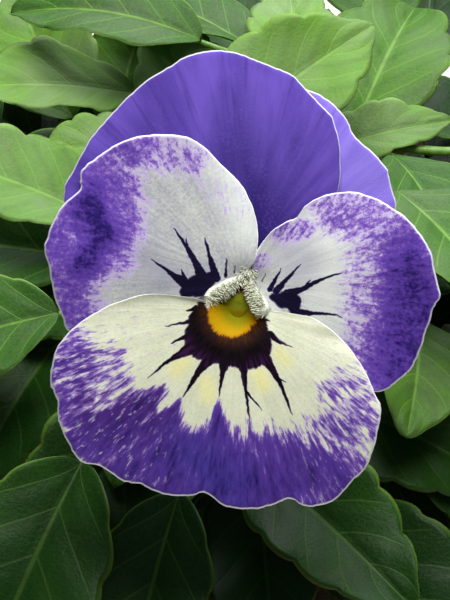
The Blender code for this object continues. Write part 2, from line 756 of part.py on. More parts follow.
def strip_triangles(spine, edge):
    """Triangles between two rows of points that share their first and last."""
    found = []
    low, high = 0, 0
    while low < len(spine) - 1 or high < len(edge) - 1:
        spine_share = (low + 0.5) / (len(spine) - 1)
        edge_share = (high + 0.5) / (len(edge) - 1)
        if high == len(edge) - 1 or (low < len(spine) - 1 and spine_share < edge_share):
            corners = (spine[low], spine[low + 1], edge[high])
            low += 1
        else:
            corners = (spine[low], edge[high + 1], edge[high])
            high += 1
        if len(set(corners)) == 3:
            found.append(corners)
    return found


class Standing:
    """A shape that stands already: its search tree, and the ball that holds it."""

    def __init__(self, shape):
        points, faces = shape
        points = [Vector(p) for p in points]
        self.centre = sum(points, Vector()) / len(points)
        self.reach = max((p - self.centre).length for p in points)
        self.tree = BVHTree.FromPolygons(points, faces)

    def meets(self, other):
        near = (self.centre - other.centre).length < self.reach + other.reach
        return near and bool(self.tree.overlap(other.tree))


def clear_of_pot_and_view(points):
    """True if no point is in the pot, its rim or the soil, or hides the bloom from the viewer."""
    place = bloom_matrix().inverted()
    for point in points:
        reach = math.hypot(point.x, point.y)
        lowest = POT_HEIGHT + RIM_ROOM_ABOVE
        if reach < POT_RIM_RADIUS - RIM_ROOM_INSIDE:
            lowest = SOIL_TOP + SOIL_CROWN + SOIL_ROOM
        elif reach >= POT_RIM_RADIUS + RIM_ROOM_OUTSIDE:
            lowest = POT_HEIGHT - OVERHANG
        if point.z < lowest:
            return False
        seen = place @ point
        if seen.z > VIEW_BEHIND and abs(seen.x) < VIEW_HALF_WIDTH and VIEW_LOW < seen.y < VIEW_HIGH:
            return False
    return True


class Mound:
    """The leaves that have found a place, and what stands in their way."""

    def __init__(self):
        self.bloom = [Standing(in_row_frame(petal_shape(petal))) for petal in PETALS.values()]
        self.bloom += [Standing(shape) for shape in bloom_green_shapes()]
        self.stems = [Standing(stem_shape(index)) for index in range(STEMS)]
        self.leaves, self.blades, self.petioles = [], [], []

    def clear(self, shape, stems):
        """True if the shape meets none of those stems, nothing that has grown, no pot and no view."""
        if not clear_of_pot_and_view(shape[0]):
            return False
        standing = Standing(shape)
        return not any(standing.meets(other) for other in self.bloom + stems + self.blades + self.petioles)

    def has_room(self, leaf):
        """True if the leaf's blade is clear of all else."""
        return self.clear(leaf.blade(LEAF_THICKNESS + 2 * LEAF_GAP), self.stems)

    def takes(self, leaf):
        """Adds the leaf if it is clear of all else, and says whether it did."""
        if (leaf.foot - leaf.joint).length > PETIOLE_LONGEST or not self.has_room(leaf):
            return False
        others = self.stems[:leaf.stem] + self.stems[leaf.stem + 1:]
        if not self.clear(leaf.petiole(PETIOLE_RADIUS + LEAF_GAP), others):
            return False
        self.leaves.append(leaf)
        self.blades.append(Standing(leaf.blade(LEAF_THICKNESS)))
        self.petioles.append(Standing(leaf.petiole(PETIOLE_RADIUS)))
        return True

    def covers(self, point):
        """True if a leaf lies over the dome's middle as seen from outside that point."""
        inward = (Vector((0, DOME_BACK, SOIL_TOP)) - point).normalized()
        start = point - inward * COVER_ABOVE
        return any(blade.tree.ray_cast(start, inward, COVER_REACH)[0] for blade in self.blades)

    def fill(self, share, turn, layers, draw):
        """Tries ever smaller leaves at one spot of the dome until one finds room."""
        for attempt in range(FILLER_TRIES):
            size = FILLER_SIZE - FILLER_SHRINK * attempt / FILLER_TRIES
            if self.takes(Leaf(share, turn, draw.uniform(*layers), draw, size)):
                return

    def close_gap(self, spot, draw):
        """Tries ever smaller leaves round that point, and several ways for the petiole of each."""
        for attempt in range(GAP_TRIES):
            size = 1 - GAP_SHRINK * attempt / GAP_TRIES
            centre = Vector([value + draw.uniform(-GAP_DRAW, GAP_DRAW) for value in spot])
            turn = math.atan2(centre.y - DOME_BACK, centre.x)
            share = min(1.0, math.hypot(centre.y - DOME_BACK, centre.x) / DOME_RADIUS)
            leaf = Leaf(share, turn, 1.0, draw, size)
            leaf.move_to(centre)
            if not self.has_room(leaf):
                continue
            for _ in range(GAP_ROUTES):
                leaf.reroute(draw)
                if self.takes(leaf):
                    return


def layout():
    """Leaves round the dome by the golden angle, smaller ones where it is bare, then the last gaps."""
    draw = random.Random(LEAF_SEED)
    mound = Mound()
    for index in range(LEAVES):
        share, turn = (index + 0.5) / LEAVES, index * GOLDEN_ANGLE
        layer = DOME_LAYERS[index % len(DOME_LAYERS)]
        for attempt in range(LEAF_TRIES):
            shrink = 1 - LEAF_SHRINK * attempt / LEAF_TRIES
            if mound.takes(Leaf(share, turn, layer, draw, shrink)):
                break
    for _ in range(FILLERS):
        share, turn = draw.uniform(0, 1), draw.uniform(0, math.tau)
        if not mound.covers(dome_point(share, turn, 1.0)):
            mound.fill(share, turn, FILLER_LAYERS, draw)
    for index in range(LOW_LEAVES):
        mound.fill(draw.uniform(0.8, 1), index * GOLDEN_ANGLE, LOW_LAYERS, draw)
    gap_draw = random.Random(GAP_SEED)
    for spot in GAP_SPOTS:
        mound.close_gap(spot, gap_draw)
    return mound.leaves


def build_foliage():
    leaves = layout()
    for index in range(STEMS):
        shapes = [stem_shape(index)]
        for leaf in leaves:
            if leaf.stem == index:
                shapes.append(leaf.petiole(PETIOLE_RADIUS))
                shapes.append(leaf.blade(LEAF_THICKNESS))
        if index == 0:
            shapes += list(bloom_green_shapes())
        name = "flowering_stem" if index == 0 else f"leafy_stem_{index:02d}"
        fused(name, shapes, "leaf_green")


# Pot and soil


def pot_wall_radius(height):
    """The pot's outer radius at that height, below its rim band."""
    band_foot = POT_HEIGHT - POT_RIM_BAND
    top = POT_RIM_RADIUS - POT_RIM_STEP - 1.0
    return POT_FOOT_RADIUS + (top - POT_FOOT_RADIUS) * height / band_foot


def build_pot():
    band_foot = POT_HEIGHT - POT_RIM_BAND
    inner_top = POT_RIM_RADIUS - POT_WALL - 1.2
    profile = [
        (0, 0),
        (POT_FOOT_RADIUS - POT_EDGE, 0),
        (POT_FOOT_RADIUS, POT_EDGE),
        (pot_wall_radius(band_foot), band_foot),
        (POT_RIM_RADIUS - 1.0, band_foot),
        (POT_RIM_RADIUS, band_foot + POT_EDGE),
        (POT_RIM_RADIUS + 0.4, POT_HEIGHT - POT_EDGE),
        (POT_RIM_RADIUS - 0.8, POT_HEIGHT),
        (inner_top + POT_EDGE, POT_HEIGHT),
        (inner_top, POT_HEIGHT - POT_EDGE),
        (POT_FOOT_RADIUS - POT_WALL, POT_FLOOR),
        (0, POT_FLOOR),
    ]
    pot = to_object("pot", turned(profile, POT_SIDES), "terracotta")
    drains = []
    for index in range(DRAIN_HOLES):
        turn = math.tau * (index + 0.5) / DRAIN_HOLES
        x, y = DRAIN_RING * math.cos(turn), DRAIN_RING * math.sin(turn)
        drains.append(tube([(x, y, -2), (x, y, POT_FLOOR + 2)], [DRAIN_RADIUS] * 2, 14))
    smooth(cut(pot, drains))


def inner_radius(height):
    inner_top = POT_RIM_RADIUS - POT_WALL - 1.2
    low = POT_FOOT_RADIUS - POT_WALL
    share = (height - POT_FLOOR) / (POT_HEIGHT - POT_EDGE - POT_FLOOR)
    return low + (inner_top - low) * share


def build_soil():
    """Potting mix with a crumbly, slightly crowned top, and a plain hole for each stem."""
    floor = POT_FLOOR + SOIL_GAP
    edge = (inner_radius(SOIL_TOP) - SOIL_GAP) * math.cos(math.pi / POT_SIDES) - 0.1
    foot = (inner_radius(floor) - SOIL_GAP) * math.cos(math.pi / POT_SIDES) - 0.1
    profile = [(0, floor), (foot, floor), (edge, SOIL_TOP)]
    for ring in range(SOIL_RINGS - 1, 0, -1):
        share = ring / SOIL_RINGS
        profile.append((edge * share, SOIL_TOP + SOIL_CROWN * (1 - share * share)))
    profile.append((0, SOIL_TOP + SOIL_CROWN))
    points, faces = turned(profile, SOIL_SIDES)
    bumpy = []
    for x, y, z in points:
        inside = z > SOIL_TOP + 0.1
        bump = SOIL_BUMP * math.sin(0.55 * x + 1.1) * math.cos(0.6 * y - 0.4) if inside else 0
        bumpy.append((x, y, z + bump))
    soil = to_object("potting_mix", (bumpy, faces), "potting_mix")
    holes = []
    for index in range(STEMS):
        root, above = stem_path(index)[:2]
        path = [root - Vector((0, 0, 1.0)), above + Vector((0, 0, 8.0))]
        holes.append(tube(path, [STEM_RADIUS + STEM_HOLE_GAP] * 2, STEM_SIDES))
    smooth(cut(soil, holes))


def main():
    for old in list(bpy.data.objects):
        bpy.data.objects.remove(old)
    build_pot()
    build_soil()
    build_petals()
    build_pistil()
    build_stamens()
    build_foliage()


main()
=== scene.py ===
"""A viola in a clay pot, dressed for its picture: fine petals, leaves, stems, soil and pot.

Lengths are in millimetres, as in the source of the solids, and MM turns them into metres when a mesh is
made. The bloom has a frame of its own: x to the viewer's right, y up along the face and z out of it, with
the throat at the origin. The markings of the petals are painted in that frame.
"""

import functools
import math
import random

import bpy
from mathutils import Matrix, Vector, noise
from mathutils.bvhtree import BVHTree


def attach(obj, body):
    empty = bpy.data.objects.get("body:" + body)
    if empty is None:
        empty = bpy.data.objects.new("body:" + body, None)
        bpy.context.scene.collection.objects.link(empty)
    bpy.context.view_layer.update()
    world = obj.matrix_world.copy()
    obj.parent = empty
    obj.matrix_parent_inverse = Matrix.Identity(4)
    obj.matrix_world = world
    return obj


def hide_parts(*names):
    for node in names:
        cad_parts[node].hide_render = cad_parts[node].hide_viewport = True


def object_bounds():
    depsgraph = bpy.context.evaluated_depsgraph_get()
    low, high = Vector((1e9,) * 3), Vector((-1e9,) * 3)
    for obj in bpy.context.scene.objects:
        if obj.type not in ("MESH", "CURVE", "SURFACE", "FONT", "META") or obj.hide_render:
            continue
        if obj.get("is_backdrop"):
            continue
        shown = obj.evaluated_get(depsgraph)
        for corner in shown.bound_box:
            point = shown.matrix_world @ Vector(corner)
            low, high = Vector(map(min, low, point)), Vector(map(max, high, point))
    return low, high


MM = 0.001

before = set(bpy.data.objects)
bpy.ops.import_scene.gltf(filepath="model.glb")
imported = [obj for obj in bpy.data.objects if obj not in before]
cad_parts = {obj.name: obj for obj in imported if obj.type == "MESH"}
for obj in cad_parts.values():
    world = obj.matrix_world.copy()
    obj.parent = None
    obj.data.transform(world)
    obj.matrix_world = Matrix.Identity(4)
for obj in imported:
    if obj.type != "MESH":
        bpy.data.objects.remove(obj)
solid_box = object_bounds()


# Clay pot: one piece of fired red clay, turned on a wheel, with a band below its rim and three drain
# holes in its floor. Water has left a pale salt bloom on the outside and rubbing has paled the edges.

POT_HEIGHT = 88.0
POT_RIM_RADIUS = 51.5
POT_RIM_BAND = 21.0
POT_RIM_STEP = 2.6
POT_RIM_SLOPE = 0.4
POT_RIM_TAPER = 1.0
POT_FOOT_RADIUS = 34.0
POT_WALL = 4.6
POT_FLOOR = 7.0
POT_EDGE = 1.2
POT_LIP = 0.8
POT_WORN = 1.6
DRAIN_RADIUS = 4.5
DRAIN_RING = 17.0
CLAY = (0.47, 0.185, 0.095)
CLAY_PALE = (0.60, 0.29, 0.17)
CLAY_DARK = (0.30, 0.11, 0.06)
CLAY_SALT = (0.72, 0.58, 0.48)

# The node tree in the making, where each new node goes
making = None


def set_inputs(node, inputs):
    """Sets a node's inputs to values, or links them to the socket or the list of sockets given."""
    for key, value in inputs.items():
        if isinstance(value, (bpy.types.NodeSocket, list)):
            for socket in value if isinstance(value, list) else [value]:
                making.links.new(socket, node.inputs[key])
        else:
            node.inputs[key].default_value = value


def add(kind, inputs=None, **properties):
    """Adds a node to the tree in the making, with its properties and inputs, and gives its outputs."""
    node = making.nodes.new(kind)
    for name, value in properties.items():
        setattr(node, name, value)
    set_inputs(node, inputs or {})
    return node.outputs


def geo(kind, inputs=None, **properties):
    """The first output of a new Geometry Nodes node."""
    return add("GeometryNode" + kind, inputs, **properties)[0]


def maths(operation, *values):
    """The result of one sum on numbers."""
    return add("ShaderNodeMath", dict(enumerate(values)), operation=operation)[0]


plus, minus, times, times_plus = (
    functools.partial(maths, operation) for operation in ("ADD", "SUBTRACT", "MULTIPLY", "MULTIPLY_ADD")
)


def vectors(operation, *values):
    """The result of one sum on vectors, which is a number for a length, a distance or a dot product."""
    places = (0, 3) if operation == "SCALE" else (0, 1, 2)
    outputs = add("ShaderNodeVectorMath", dict(zip(places, values)), operation=operation)
    return outputs["Value" if operation in ("LENGTH", "DISTANCE", "DOT_PRODUCT") else "Vector"]


def split(vector):
    """The three parts of a vector."""
    return add("ShaderNodeSeparateXYZ", {0: vector})


def joined(x=0.0, y=0.0, z=0.0):
    """A vector made of three parts."""
    return add("ShaderNodeCombineXYZ", {0: x, 1: y, 2: z})[0]


def noisy(vector, scale, detail, **more):
    """Noise, as a number round 0.5 and as a colour."""
    return add("ShaderNodeTexNoise", {"Vector": vector, "Scale": scale, "Detail": detail, **more})


def add_group(group, inputs):
    """Places a node group in a material and gives its outputs."""
    return add("ShaderNodeGroup", inputs, node_tree=group)


def ramp(value, low, high, start=0.0, end=1.0):
    """The value taken smoothly from start at low to end at high, and held beyond them."""
    inputs = {"Value": value, "From Min": low, "From Max": high, "To Min": start, "To Max": end}
    return add("ShaderNodeMapRange", inputs, interpolation_type="SMOOTHSTEP")["Result"]


def mixed(share, low, high):
    """One colour over another, by a share from 0 to 1."""
    low, high = ((*value, 1.0) if isinstance(value, tuple) else value for value in (low, high))
    return add("ShaderNodeMix", {0: share, 6: low, 7: high}, data_type="RGBA", clamp_factor=True)[2]


def tree_of(name, inputs, outputs=None):
    """Starts a node group and gives its inputs, which are named with a value or a kind.

    It is a Geometry Nodes tree, unless it has outputs of its own, which are numbers.
    """
    global making
    making = bpy.data.node_groups.new(name, "ShaderNodeTree" if outputs else "GeometryNodeTree")
    for label, value in inputs.items():
        kind = value if isinstance(value, str) else "Int" if isinstance(value, int) else "Float"
        socket = making.interface.new_socket(label, in_out="INPUT", socket_type="NodeSocket" + kind)
        if not isinstance(value, str):
            socket.default_value = value
    for label in outputs or ("Geometry",):
        kind = "Float" if outputs else "Geometry"
        making.interface.new_socket(label, in_out="OUTPUT", socket_type="NodeSocket" + kind)
    return making.nodes.new("NodeGroupInput").outputs


def tree_end(**outputs):
    """Links what the tree gives, and gives back the tree."""
    set_inputs(making.nodes.new("NodeGroupOutput"), outputs)
    return making


def body_end(body, finish, smooth=True):
    """The end of a Geometry Nodes tree: smooth faces, its finish and plain geometry."""
    if smooth:
        body = geo("SetShadeSmooth", {0: body})
    if finish:
        body = geo("SetMaterial", {"Geometry": body, "Material": finish})
    return tree_end(Geometry=geo("RealizeInstances", {0: body}))


def turned_tree():
    """Turns a profile, given as edges in the XZ plane, about Z, and leaves a potter's fine rings on it."""
    given = tree_of("Turned On A Wheel", {
        "Geometry": "Geometry", "Sides": 64, "Samples": 64, "Corner Radius": 0.0005,
        "Ring Depth": 0.0, "Ring Pitch": 0.002, "Finish": "Material",
    })
    line = geo("MeshToCurve", {"Mesh": given["Geometry"]})
    fillet = {"Curve": line, "Radius": given["Corner Radius"], "Limit Radius": True, "Count": 4}
    line = geo("FilletCurve", fillet, mode="POLY")
    columns = plus(given["Sides"], 1)
    sheet = {"Size X": 1.0, "Size Y": 1.0, "Vertices X": columns, "Vertices Y": given["Samples"]}
    sheet = geo("MeshGrid", sheet)
    place = split(geo("InputPosition"))
    turn = times(plus(place[0], 0.5), math.tau)
    sampled = {"Curves": line, "Factor": plus(place[1], 0.5)}
    profile = split(add("GeometryNodeSampleCurve", sampled, mode="FACTOR")["Position"])
    around = [times(profile[0], maths(side, turn)) for side in ("COSINE", "SINE")]
    body = geo("SetPosition", {"Geometry": sheet, "Position": joined(*around, profile[2])})
    body = geo("MergeByDistance", {"Geometry": body, "Distance": 2e-6})
    at = geo("InputPosition")
    wave = times(maths("DIVIDE", split(at)[2], given["Ring Pitch"]), math.tau)
    wave = maths("SINE", plus(wave, times(noisy(at, 45.0, 2.0)[0], 9.0)))
    lift = vectors("SCALE", geo("InputNormal"), times(wave, given["Ring Depth"]))
    return body_end(geo("SetPosition", {"Geometry": body, "Offset": lift}), given["Finish"])


def drilled_tree():
    """Drills round holes down through a body, evenly on a ring."""
    given = tree_of("Drain Holes", {
        "Geometry": "Geometry", "Count": 3, "Ring Radius": 0.017, "Hole Radius": 0.0045,
        "Depth": 0.03, "Finish": "Material",
    })
    ring = geo("MeshCircle", {"Vertices": given["Count"], "Radius": given["Ring Radius"]})
    drill = {"Vertices": 40, "Radius": given["Hole Radius"], "Depth": given["Depth"]}
    drills = geo("InstanceOnPoints", {"Points": ring, "Instance": geo("MeshCylinder", drill)})
    drills = geo("RealizeInstances", {0: drills})
    drills = geo("Transform", {"Geometry": drills, "Rotation": (0.0, 0.0, math.pi / 3)})
    cut = {"Mesh 1": given["Geometry"], "Mesh 2": drills}
    cut = geo("MeshBoolean", cut, operation="DIFFERENCE", solver="MANIFOLD")
    return body_end(cut, given["Finish"], smooth=False)


def mesh_of(name, points, edges, faces, per_point=None):
    """A mesh from points in millimetres, with number or vector attributes on its points."""
    mesh = bpy.data.meshes.new(name)
    mesh.from_pydata([Vector(p) * MM for p in points], edges, faces)
    for label, values in (per_point or {}).items():
        vector = not isinstance(values[0], float)
        attribute = mesh.attributes.new(label, "FLOAT_VECTOR" if vector else "FLOAT", "POINT")
        flat = [part for value in values for part in value] if vector else values
        attribute.data.foreach_set("vector" if vector else "value", flat)
    return mesh


def shown(name, data):
    """A new object in the scene, for a mesh, a lamp or a camera."""
    made = bpy.data.objects.new(name, data)
    bpy.context.scene.collection.objects.link(made)
    return made


def grown(mesh, tree, settings):
    """Runs a Geometry Nodes tree on a mesh and gives the result as a plain mesh."""
    base = shown(mesh.name + "_base", mesh)
    modifier = base.modifiers.new(tree.name, "NODES")
    modifier.node_group = tree
    for item in tree.interface.items_tree:
        if item.item_type == "SOCKET" and item.in_out == "INPUT" and item.name in settings:
            modifier[item.identifier] = settings[item.name]
    graph = bpy.context.evaluated_depsgraph_get()
    made = bpy.data.meshes.new_from_object(base.evaluated_get(graph))
    bpy.data.objects.remove(base)
    if made.materials and not made.materials[0]:
        made.materials.pop(index=0)
    return made


def piece(name, mesh, slot, *solids):
    """Puts a finished mesh in the scene, on the one body, in place of the solids it stands for."""
    made = shown(name, mesh)
    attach(made, "root")
    if solids:
        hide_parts(*solids)


def grain_group():
    """Grain at two sizes, as a mask round 0.5 and as a height."""
    inputs = {"Vector": "Vector", "Scale": 1000.0, "Coarse Share": 0.5}
    given = tree_of("Grain", inputs, ("Mask", "Height"))
    fine = noisy(given["Vector"], given["Scale"], 3.0, Roughness=0.6)[0]
    coarse = noisy(given["Vector"], times(given["Scale"], 0.12), 4.0, Roughness=0.55)[0]
    fine_share = minus(1.0, given["Coarse Share"])
    return tree_end(Mask=plus(times(coarse, given["Coarse Share"]), times(fine, fine_share)), Height=fine)


GRAIN = grain_group()


def grain(vector, scale, coarse_share=0.5):
    """The grain group placed in a material, with its own size."""
    return add_group(GRAIN, {"Vector": vector, "Scale": scale, "Coarse Share": coarse_share})


def finish(name, roughness, **constants):
    """Starts a material and gives it with its shader, which has the values that are alike all over."""
    global making
    made = bpy.data.materials.new(name)
    made.use_nodes = True
    making = made.node_tree
    shader = making.nodes["Principled BSDF"]
    set_inputs(shader, {"Roughness": roughness})
    for label, value in constants.items():
        set_inputs(shader, {label.replace("_", " ").title().replace("Ior", "IOR"): value})
    return made, shader


def bumped(shader, height, depth, strength=1.0):
    """Sends a height between 0 and 1 to the shader's normal, as relief of that depth in millimetres."""
    normal = add("ShaderNodeBump", {"Height": height, "Distance": depth * MM, "Strength": strength})[0]
    set_inputs(shader, {"Normal": normal})


def clay_finish():
    """Red clay: clouded colour, dark grit, salt bloom on the lower wall, and paler rubbed rims."""
    made, shader = finish("Terracotta Clay", 0.86)
    place = add("ShaderNodeTexCoord")["Object"]
    height = split(place)[2]
    clouds = noisy(place, 38.0, 5.0)[0]
    colour = mixed(ramp(clouds, 0.35, 0.68), CLAY, CLAY_PALE)
    colour = mixed(times(ramp(height, 0.004, 0.030, 0.55, 0.0), clouds), colour, CLAY_DARK)
    grit = add("ShaderNodeTexVoronoi", {"Vector": place, "Scale": 900.0})["Distance"]
    colour = mixed(ramp(grit, 0.05, 0.22, 0.6, 0.0), colour, CLAY_DARK)
    fine = grain(place, 1400.0, 0.45)
    salt = plus(noisy(place, 24.0, 7.0, Roughness=0.68)[0], times(fine["Mask"], 0.16))
    below_band = ramp(maths("ABSOLUTE", minus(height, (POT_HEIGHT - POT_RIM_BAND) * MM)), 0.0, 0.016)
    salt = ramp(minus(salt, times(below_band, 0.07)), 0.57, 0.74)
    colour = mixed(times(salt, 0.75), colour, CLAY_SALT)
    rim = ramp(height, (POT_HEIGHT - POT_WORN) * MM, POT_HEIGHT * MM)
    worn = times(rim, ramp(clouds, 0.3, 0.6))
    colour = mixed(times(worn, 0.55), colour, CLAY_PALE)
    set_inputs(shader, {"Base Color": colour, "Roughness": ramp(fine["Mask"], 0.3, 0.7, 0.78, 0.95)})
    bumped(shader, minus(fine["Height"], ramp(grit, 0.02, 0.12, 0.5, 0.0)), 0.16, 0.8)
    return made


def chain(count):
    """The edges that join that many points in a row."""
    return [(index, index + 1) for index in range(count - 1)]


TURNED = turned_tree()


def turned(name, profile, settings):
    """A body turned from a profile of radii and heights."""
    return grown(mesh_of(name, [(r, 0, z) for r, z in profile], chain(len(profile)), []), TURNED, settings)


band_foot = POT_HEIGHT - POT_RIM_BAND
pot_inner_top = POT_RIM_RADIUS - POT_WALL - POT_EDGE
pot_profile = [
    (0, 0),
    (POT_FOOT_RADIUS - POT_EDGE, 0),
    (POT_FOOT_RADIUS, POT_EDGE),
    (POT_RIM_RADIUS - POT_RIM_STEP - POT_RIM_TAPER, band_foot),
    (POT_RIM_RADIUS - POT_RIM_TAPER, band_foot),
    (POT_RIM_RADIUS, band_foot + POT_EDGE),
    (POT_RIM_RADIUS + POT_RIM_SLOPE, POT_HEIGHT - POT_EDGE),
    (POT_RIM_RADIUS - POT_LIP, POT_HEIGHT),
    (pot_inner_top + POT_EDGE, POT_HEIGHT),
    (pot_inner_top, POT_HEIGHT - POT_EDGE),
    (POT_FOOT_RADIUS - POT_WALL, POT_FLOOR),
    (0, POT_FLOOR),
]
clay = clay_finish()
pot_body = turned("pot_profile", pot_profile, {
    "Sides": 192, "Samples": 170, "Corner Radius": 0.9 * MM, "Ring Depth": 0.07 * MM,
    "Ring Pitch": 2.3 * MM, "Finish": clay,
})
pot_body = grown(pot_body, drilled_tree(), {
    "Count": 3, "Ring Radius": DRAIN_RING * MM, "Hole Radius": DRAIN_RADIUS * MM,
    "Depth": 4 * POT_FLOOR * MM, "Finish": clay,
})
piece("clay_pot", pot_body, "terracotta", "pot")


# Potting mix: peat and bark fines that fill the pot, crowned a little in the middle, with crumbs of
# bark and white grains of perlite pressed into its top.

SOIL_TOP = 78.0
SOIL_CROWN = 3.0
SOIL_GAP = 0.3
SOIL_INSET = 0.5
CROWN_SHARES = (0.8, 0.6, 0.4, 0.2)
SOIL_DARK = (0.020, 0.012, 0.008)
SOIL_BROWN = (0.075, 0.045, 0.027)
BARK = (0.12, 0.065, 0.034)
PERLITE_GREY = (0.45, 0.42, 0.38)
PERLITE_WHITE = (0.72, 0.70, 0.66)
PER_CM2 = 10000.0
# Each grain's piece, how many lie on a square centimetre, its smallest and largest size, seed and finish
GRAINS = (
    ("bark_crumbs", 13.0, 0.5, 1.7, 11, ("Bark Crumbs", SOIL_DARK, BARK, 0.9)),
    ("perlite_grains", 1.7, 0.5, 1.3, 29, ("Perlite", PERLITE_GREY, PERLITE_WHITE, 0.8)),
)


def inner_radius(height):
    """The pot's inner radius at that height."""
    low = POT_FOOT_RADIUS - POT_WALL
    share = (height - POT_FLOOR) / (POT_HEIGHT - POT_EDGE - POT_FLOOR)
    return low + (pot_inner_top - low) * share


def crumbled_tree():
    """Roughens the top of the soil with lumps at two sizes."""
    given = tree_of("Crumbled Top", {
        "Geometry": "Geometry", "Top": 0.078, "Height": 0.001, "Finish": "Material",
    })
    at = geo("InputPosition")
    on_top = ramp(minus(split(at)[2], given["Top"]), -0.0002, 0.0006)
    lumps = times(minus(noisy(at, 170.0, 4.0)[0], 0.5), on_top)
    lift = joined(z=times(lumps, given["Height"]))
    return body_end(geo("SetPosition", {"Geometry": given["Geometry"], "Offset": lift}), given["Finish"])


def drawn(low, high, seed):
    """A random number for each point, or a random vector where the limits are vectors."""
    if isinstance(low, tuple):
        inputs = {0: low, 1: high, "Seed": seed}
        return add("FunctionNodeRandomValue", inputs, data_type="FLOAT_VECTOR")[0]
    inputs = {"Min": low, "Max": high, "Seed": seed}
    return add("FunctionNodeRandomValue", inputs, data_type="FLOAT")[1]


def scattered_tree():
    """Scatters lumpy grains over the upward faces of a surface and leaves out the surface itself."""
    given = tree_of("Scattered Grains", {
        "Geometry": "Geometry", "Density": 100000.0, "Smallest": 0.0005, "Largest": 0.001, "Seed": 0,
        "Finish": "Material",
    })
    upward = maths("GREATER_THAN", split(geo("InputNormal"))[2], 0.6)
    spots = {
        "Mesh": given["Geometry"], "Selection": upward, "Density": given["Density"], "Seed": given["Seed"],
    }
    spots = geo("DistributePointsOnFaces", spots)
    lump = geo("MeshIcoSphere", {"Radius": 0.5, "Subdivisions": 2})
    dents = vectors("SUBTRACT", noisy(geo("InputPosition"), 2.2, 2.0)["Color"], (0.5, 0.5, 0.5))
    lump = geo("SetPosition", {"Geometry": lump, "Offset": vectors("SCALE", dents, 0.9)})
    size = drawn(given["Smallest"], given["Largest"], 3)
    size = vectors("SCALE", drawn((0.7, 0.7, 0.45), (1.3, 1.3, 0.8), 5), size)
    turn = drawn((-0.5, -0.5, 0.0), (0.5, 0.5, math.tau), 7)
    grains = geo("InstanceOnPoints", {"Points": spots, "Instance": lump, "Rotation": turn, "Scale": size})
    return body_end(grains, given["Finish"], smooth=False)


def soil_finish(name, dark, light, roughness):
    """Earthy stuff: two browns by grain, with a crumbly relief."""
    made, shader = finish(name, roughness)
    fine = grain(add("ShaderNodeTexCoord")["Object"], 1300.0, 0.6)
    set_inputs(shader, {"Base Color": mixed(ramp(fine["Mask"], 0.36, 0.66), dark, light)})
    bumped(shader, fine["Height"], 0.5)
    return made


soil_floor = POT_FLOOR + SOIL_GAP
soil_edge = inner_radius(SOIL_TOP) - SOIL_INSET
soil_foot = inner_radius(soil_floor) - SOIL_INSET
soil_profile = [(0, soil_floor), (soil_foot, soil_floor), (soil_edge, SOIL_TOP)]
soil_profile += [(soil_edge * share, SOIL_TOP + SOIL_CROWN * (1 - share**2)) for share in CROWN_SHARES]
soil_profile.append((0, SOIL_TOP + SOIL_CROWN))
peat = soil_finish("Peat And Bark Fines", SOIL_DARK, SOIL_BROWN, 0.95)
soil_body = turned("soil_profile", soil_profile, {
    "Sides": 160, "Samples": 130, "Corner Radius": 1.0 * MM, "Finish": peat,
})
soil_body = grown(soil_body, crumbled_tree(), {"Top": SOIL_TOP * MM, "Height": 1.5 * MM, "Finish": peat})
piece("potting_soil", soil_body, "potting_mix", "potting_mix")
SCATTERED = scattered_tree()
for name, crowding, smallest, largest, seed, look in GRAINS:
    grains = grown(soil_body.copy(), SCATTERED, {
        "Density": crowding * PER_CM2, "Smallest": smallest * MM, "Largest": largest * MM, "Seed": seed,
        "Finish": soil_finish(*look),
    })
    piece(name, grains, "potting_mix")


# Petals: five thin, velvety blades, each fanned out from its foot behind the throat. The lower petal
# has a blunt spur behind it, and the side petals have padded inner edges beside the throat.

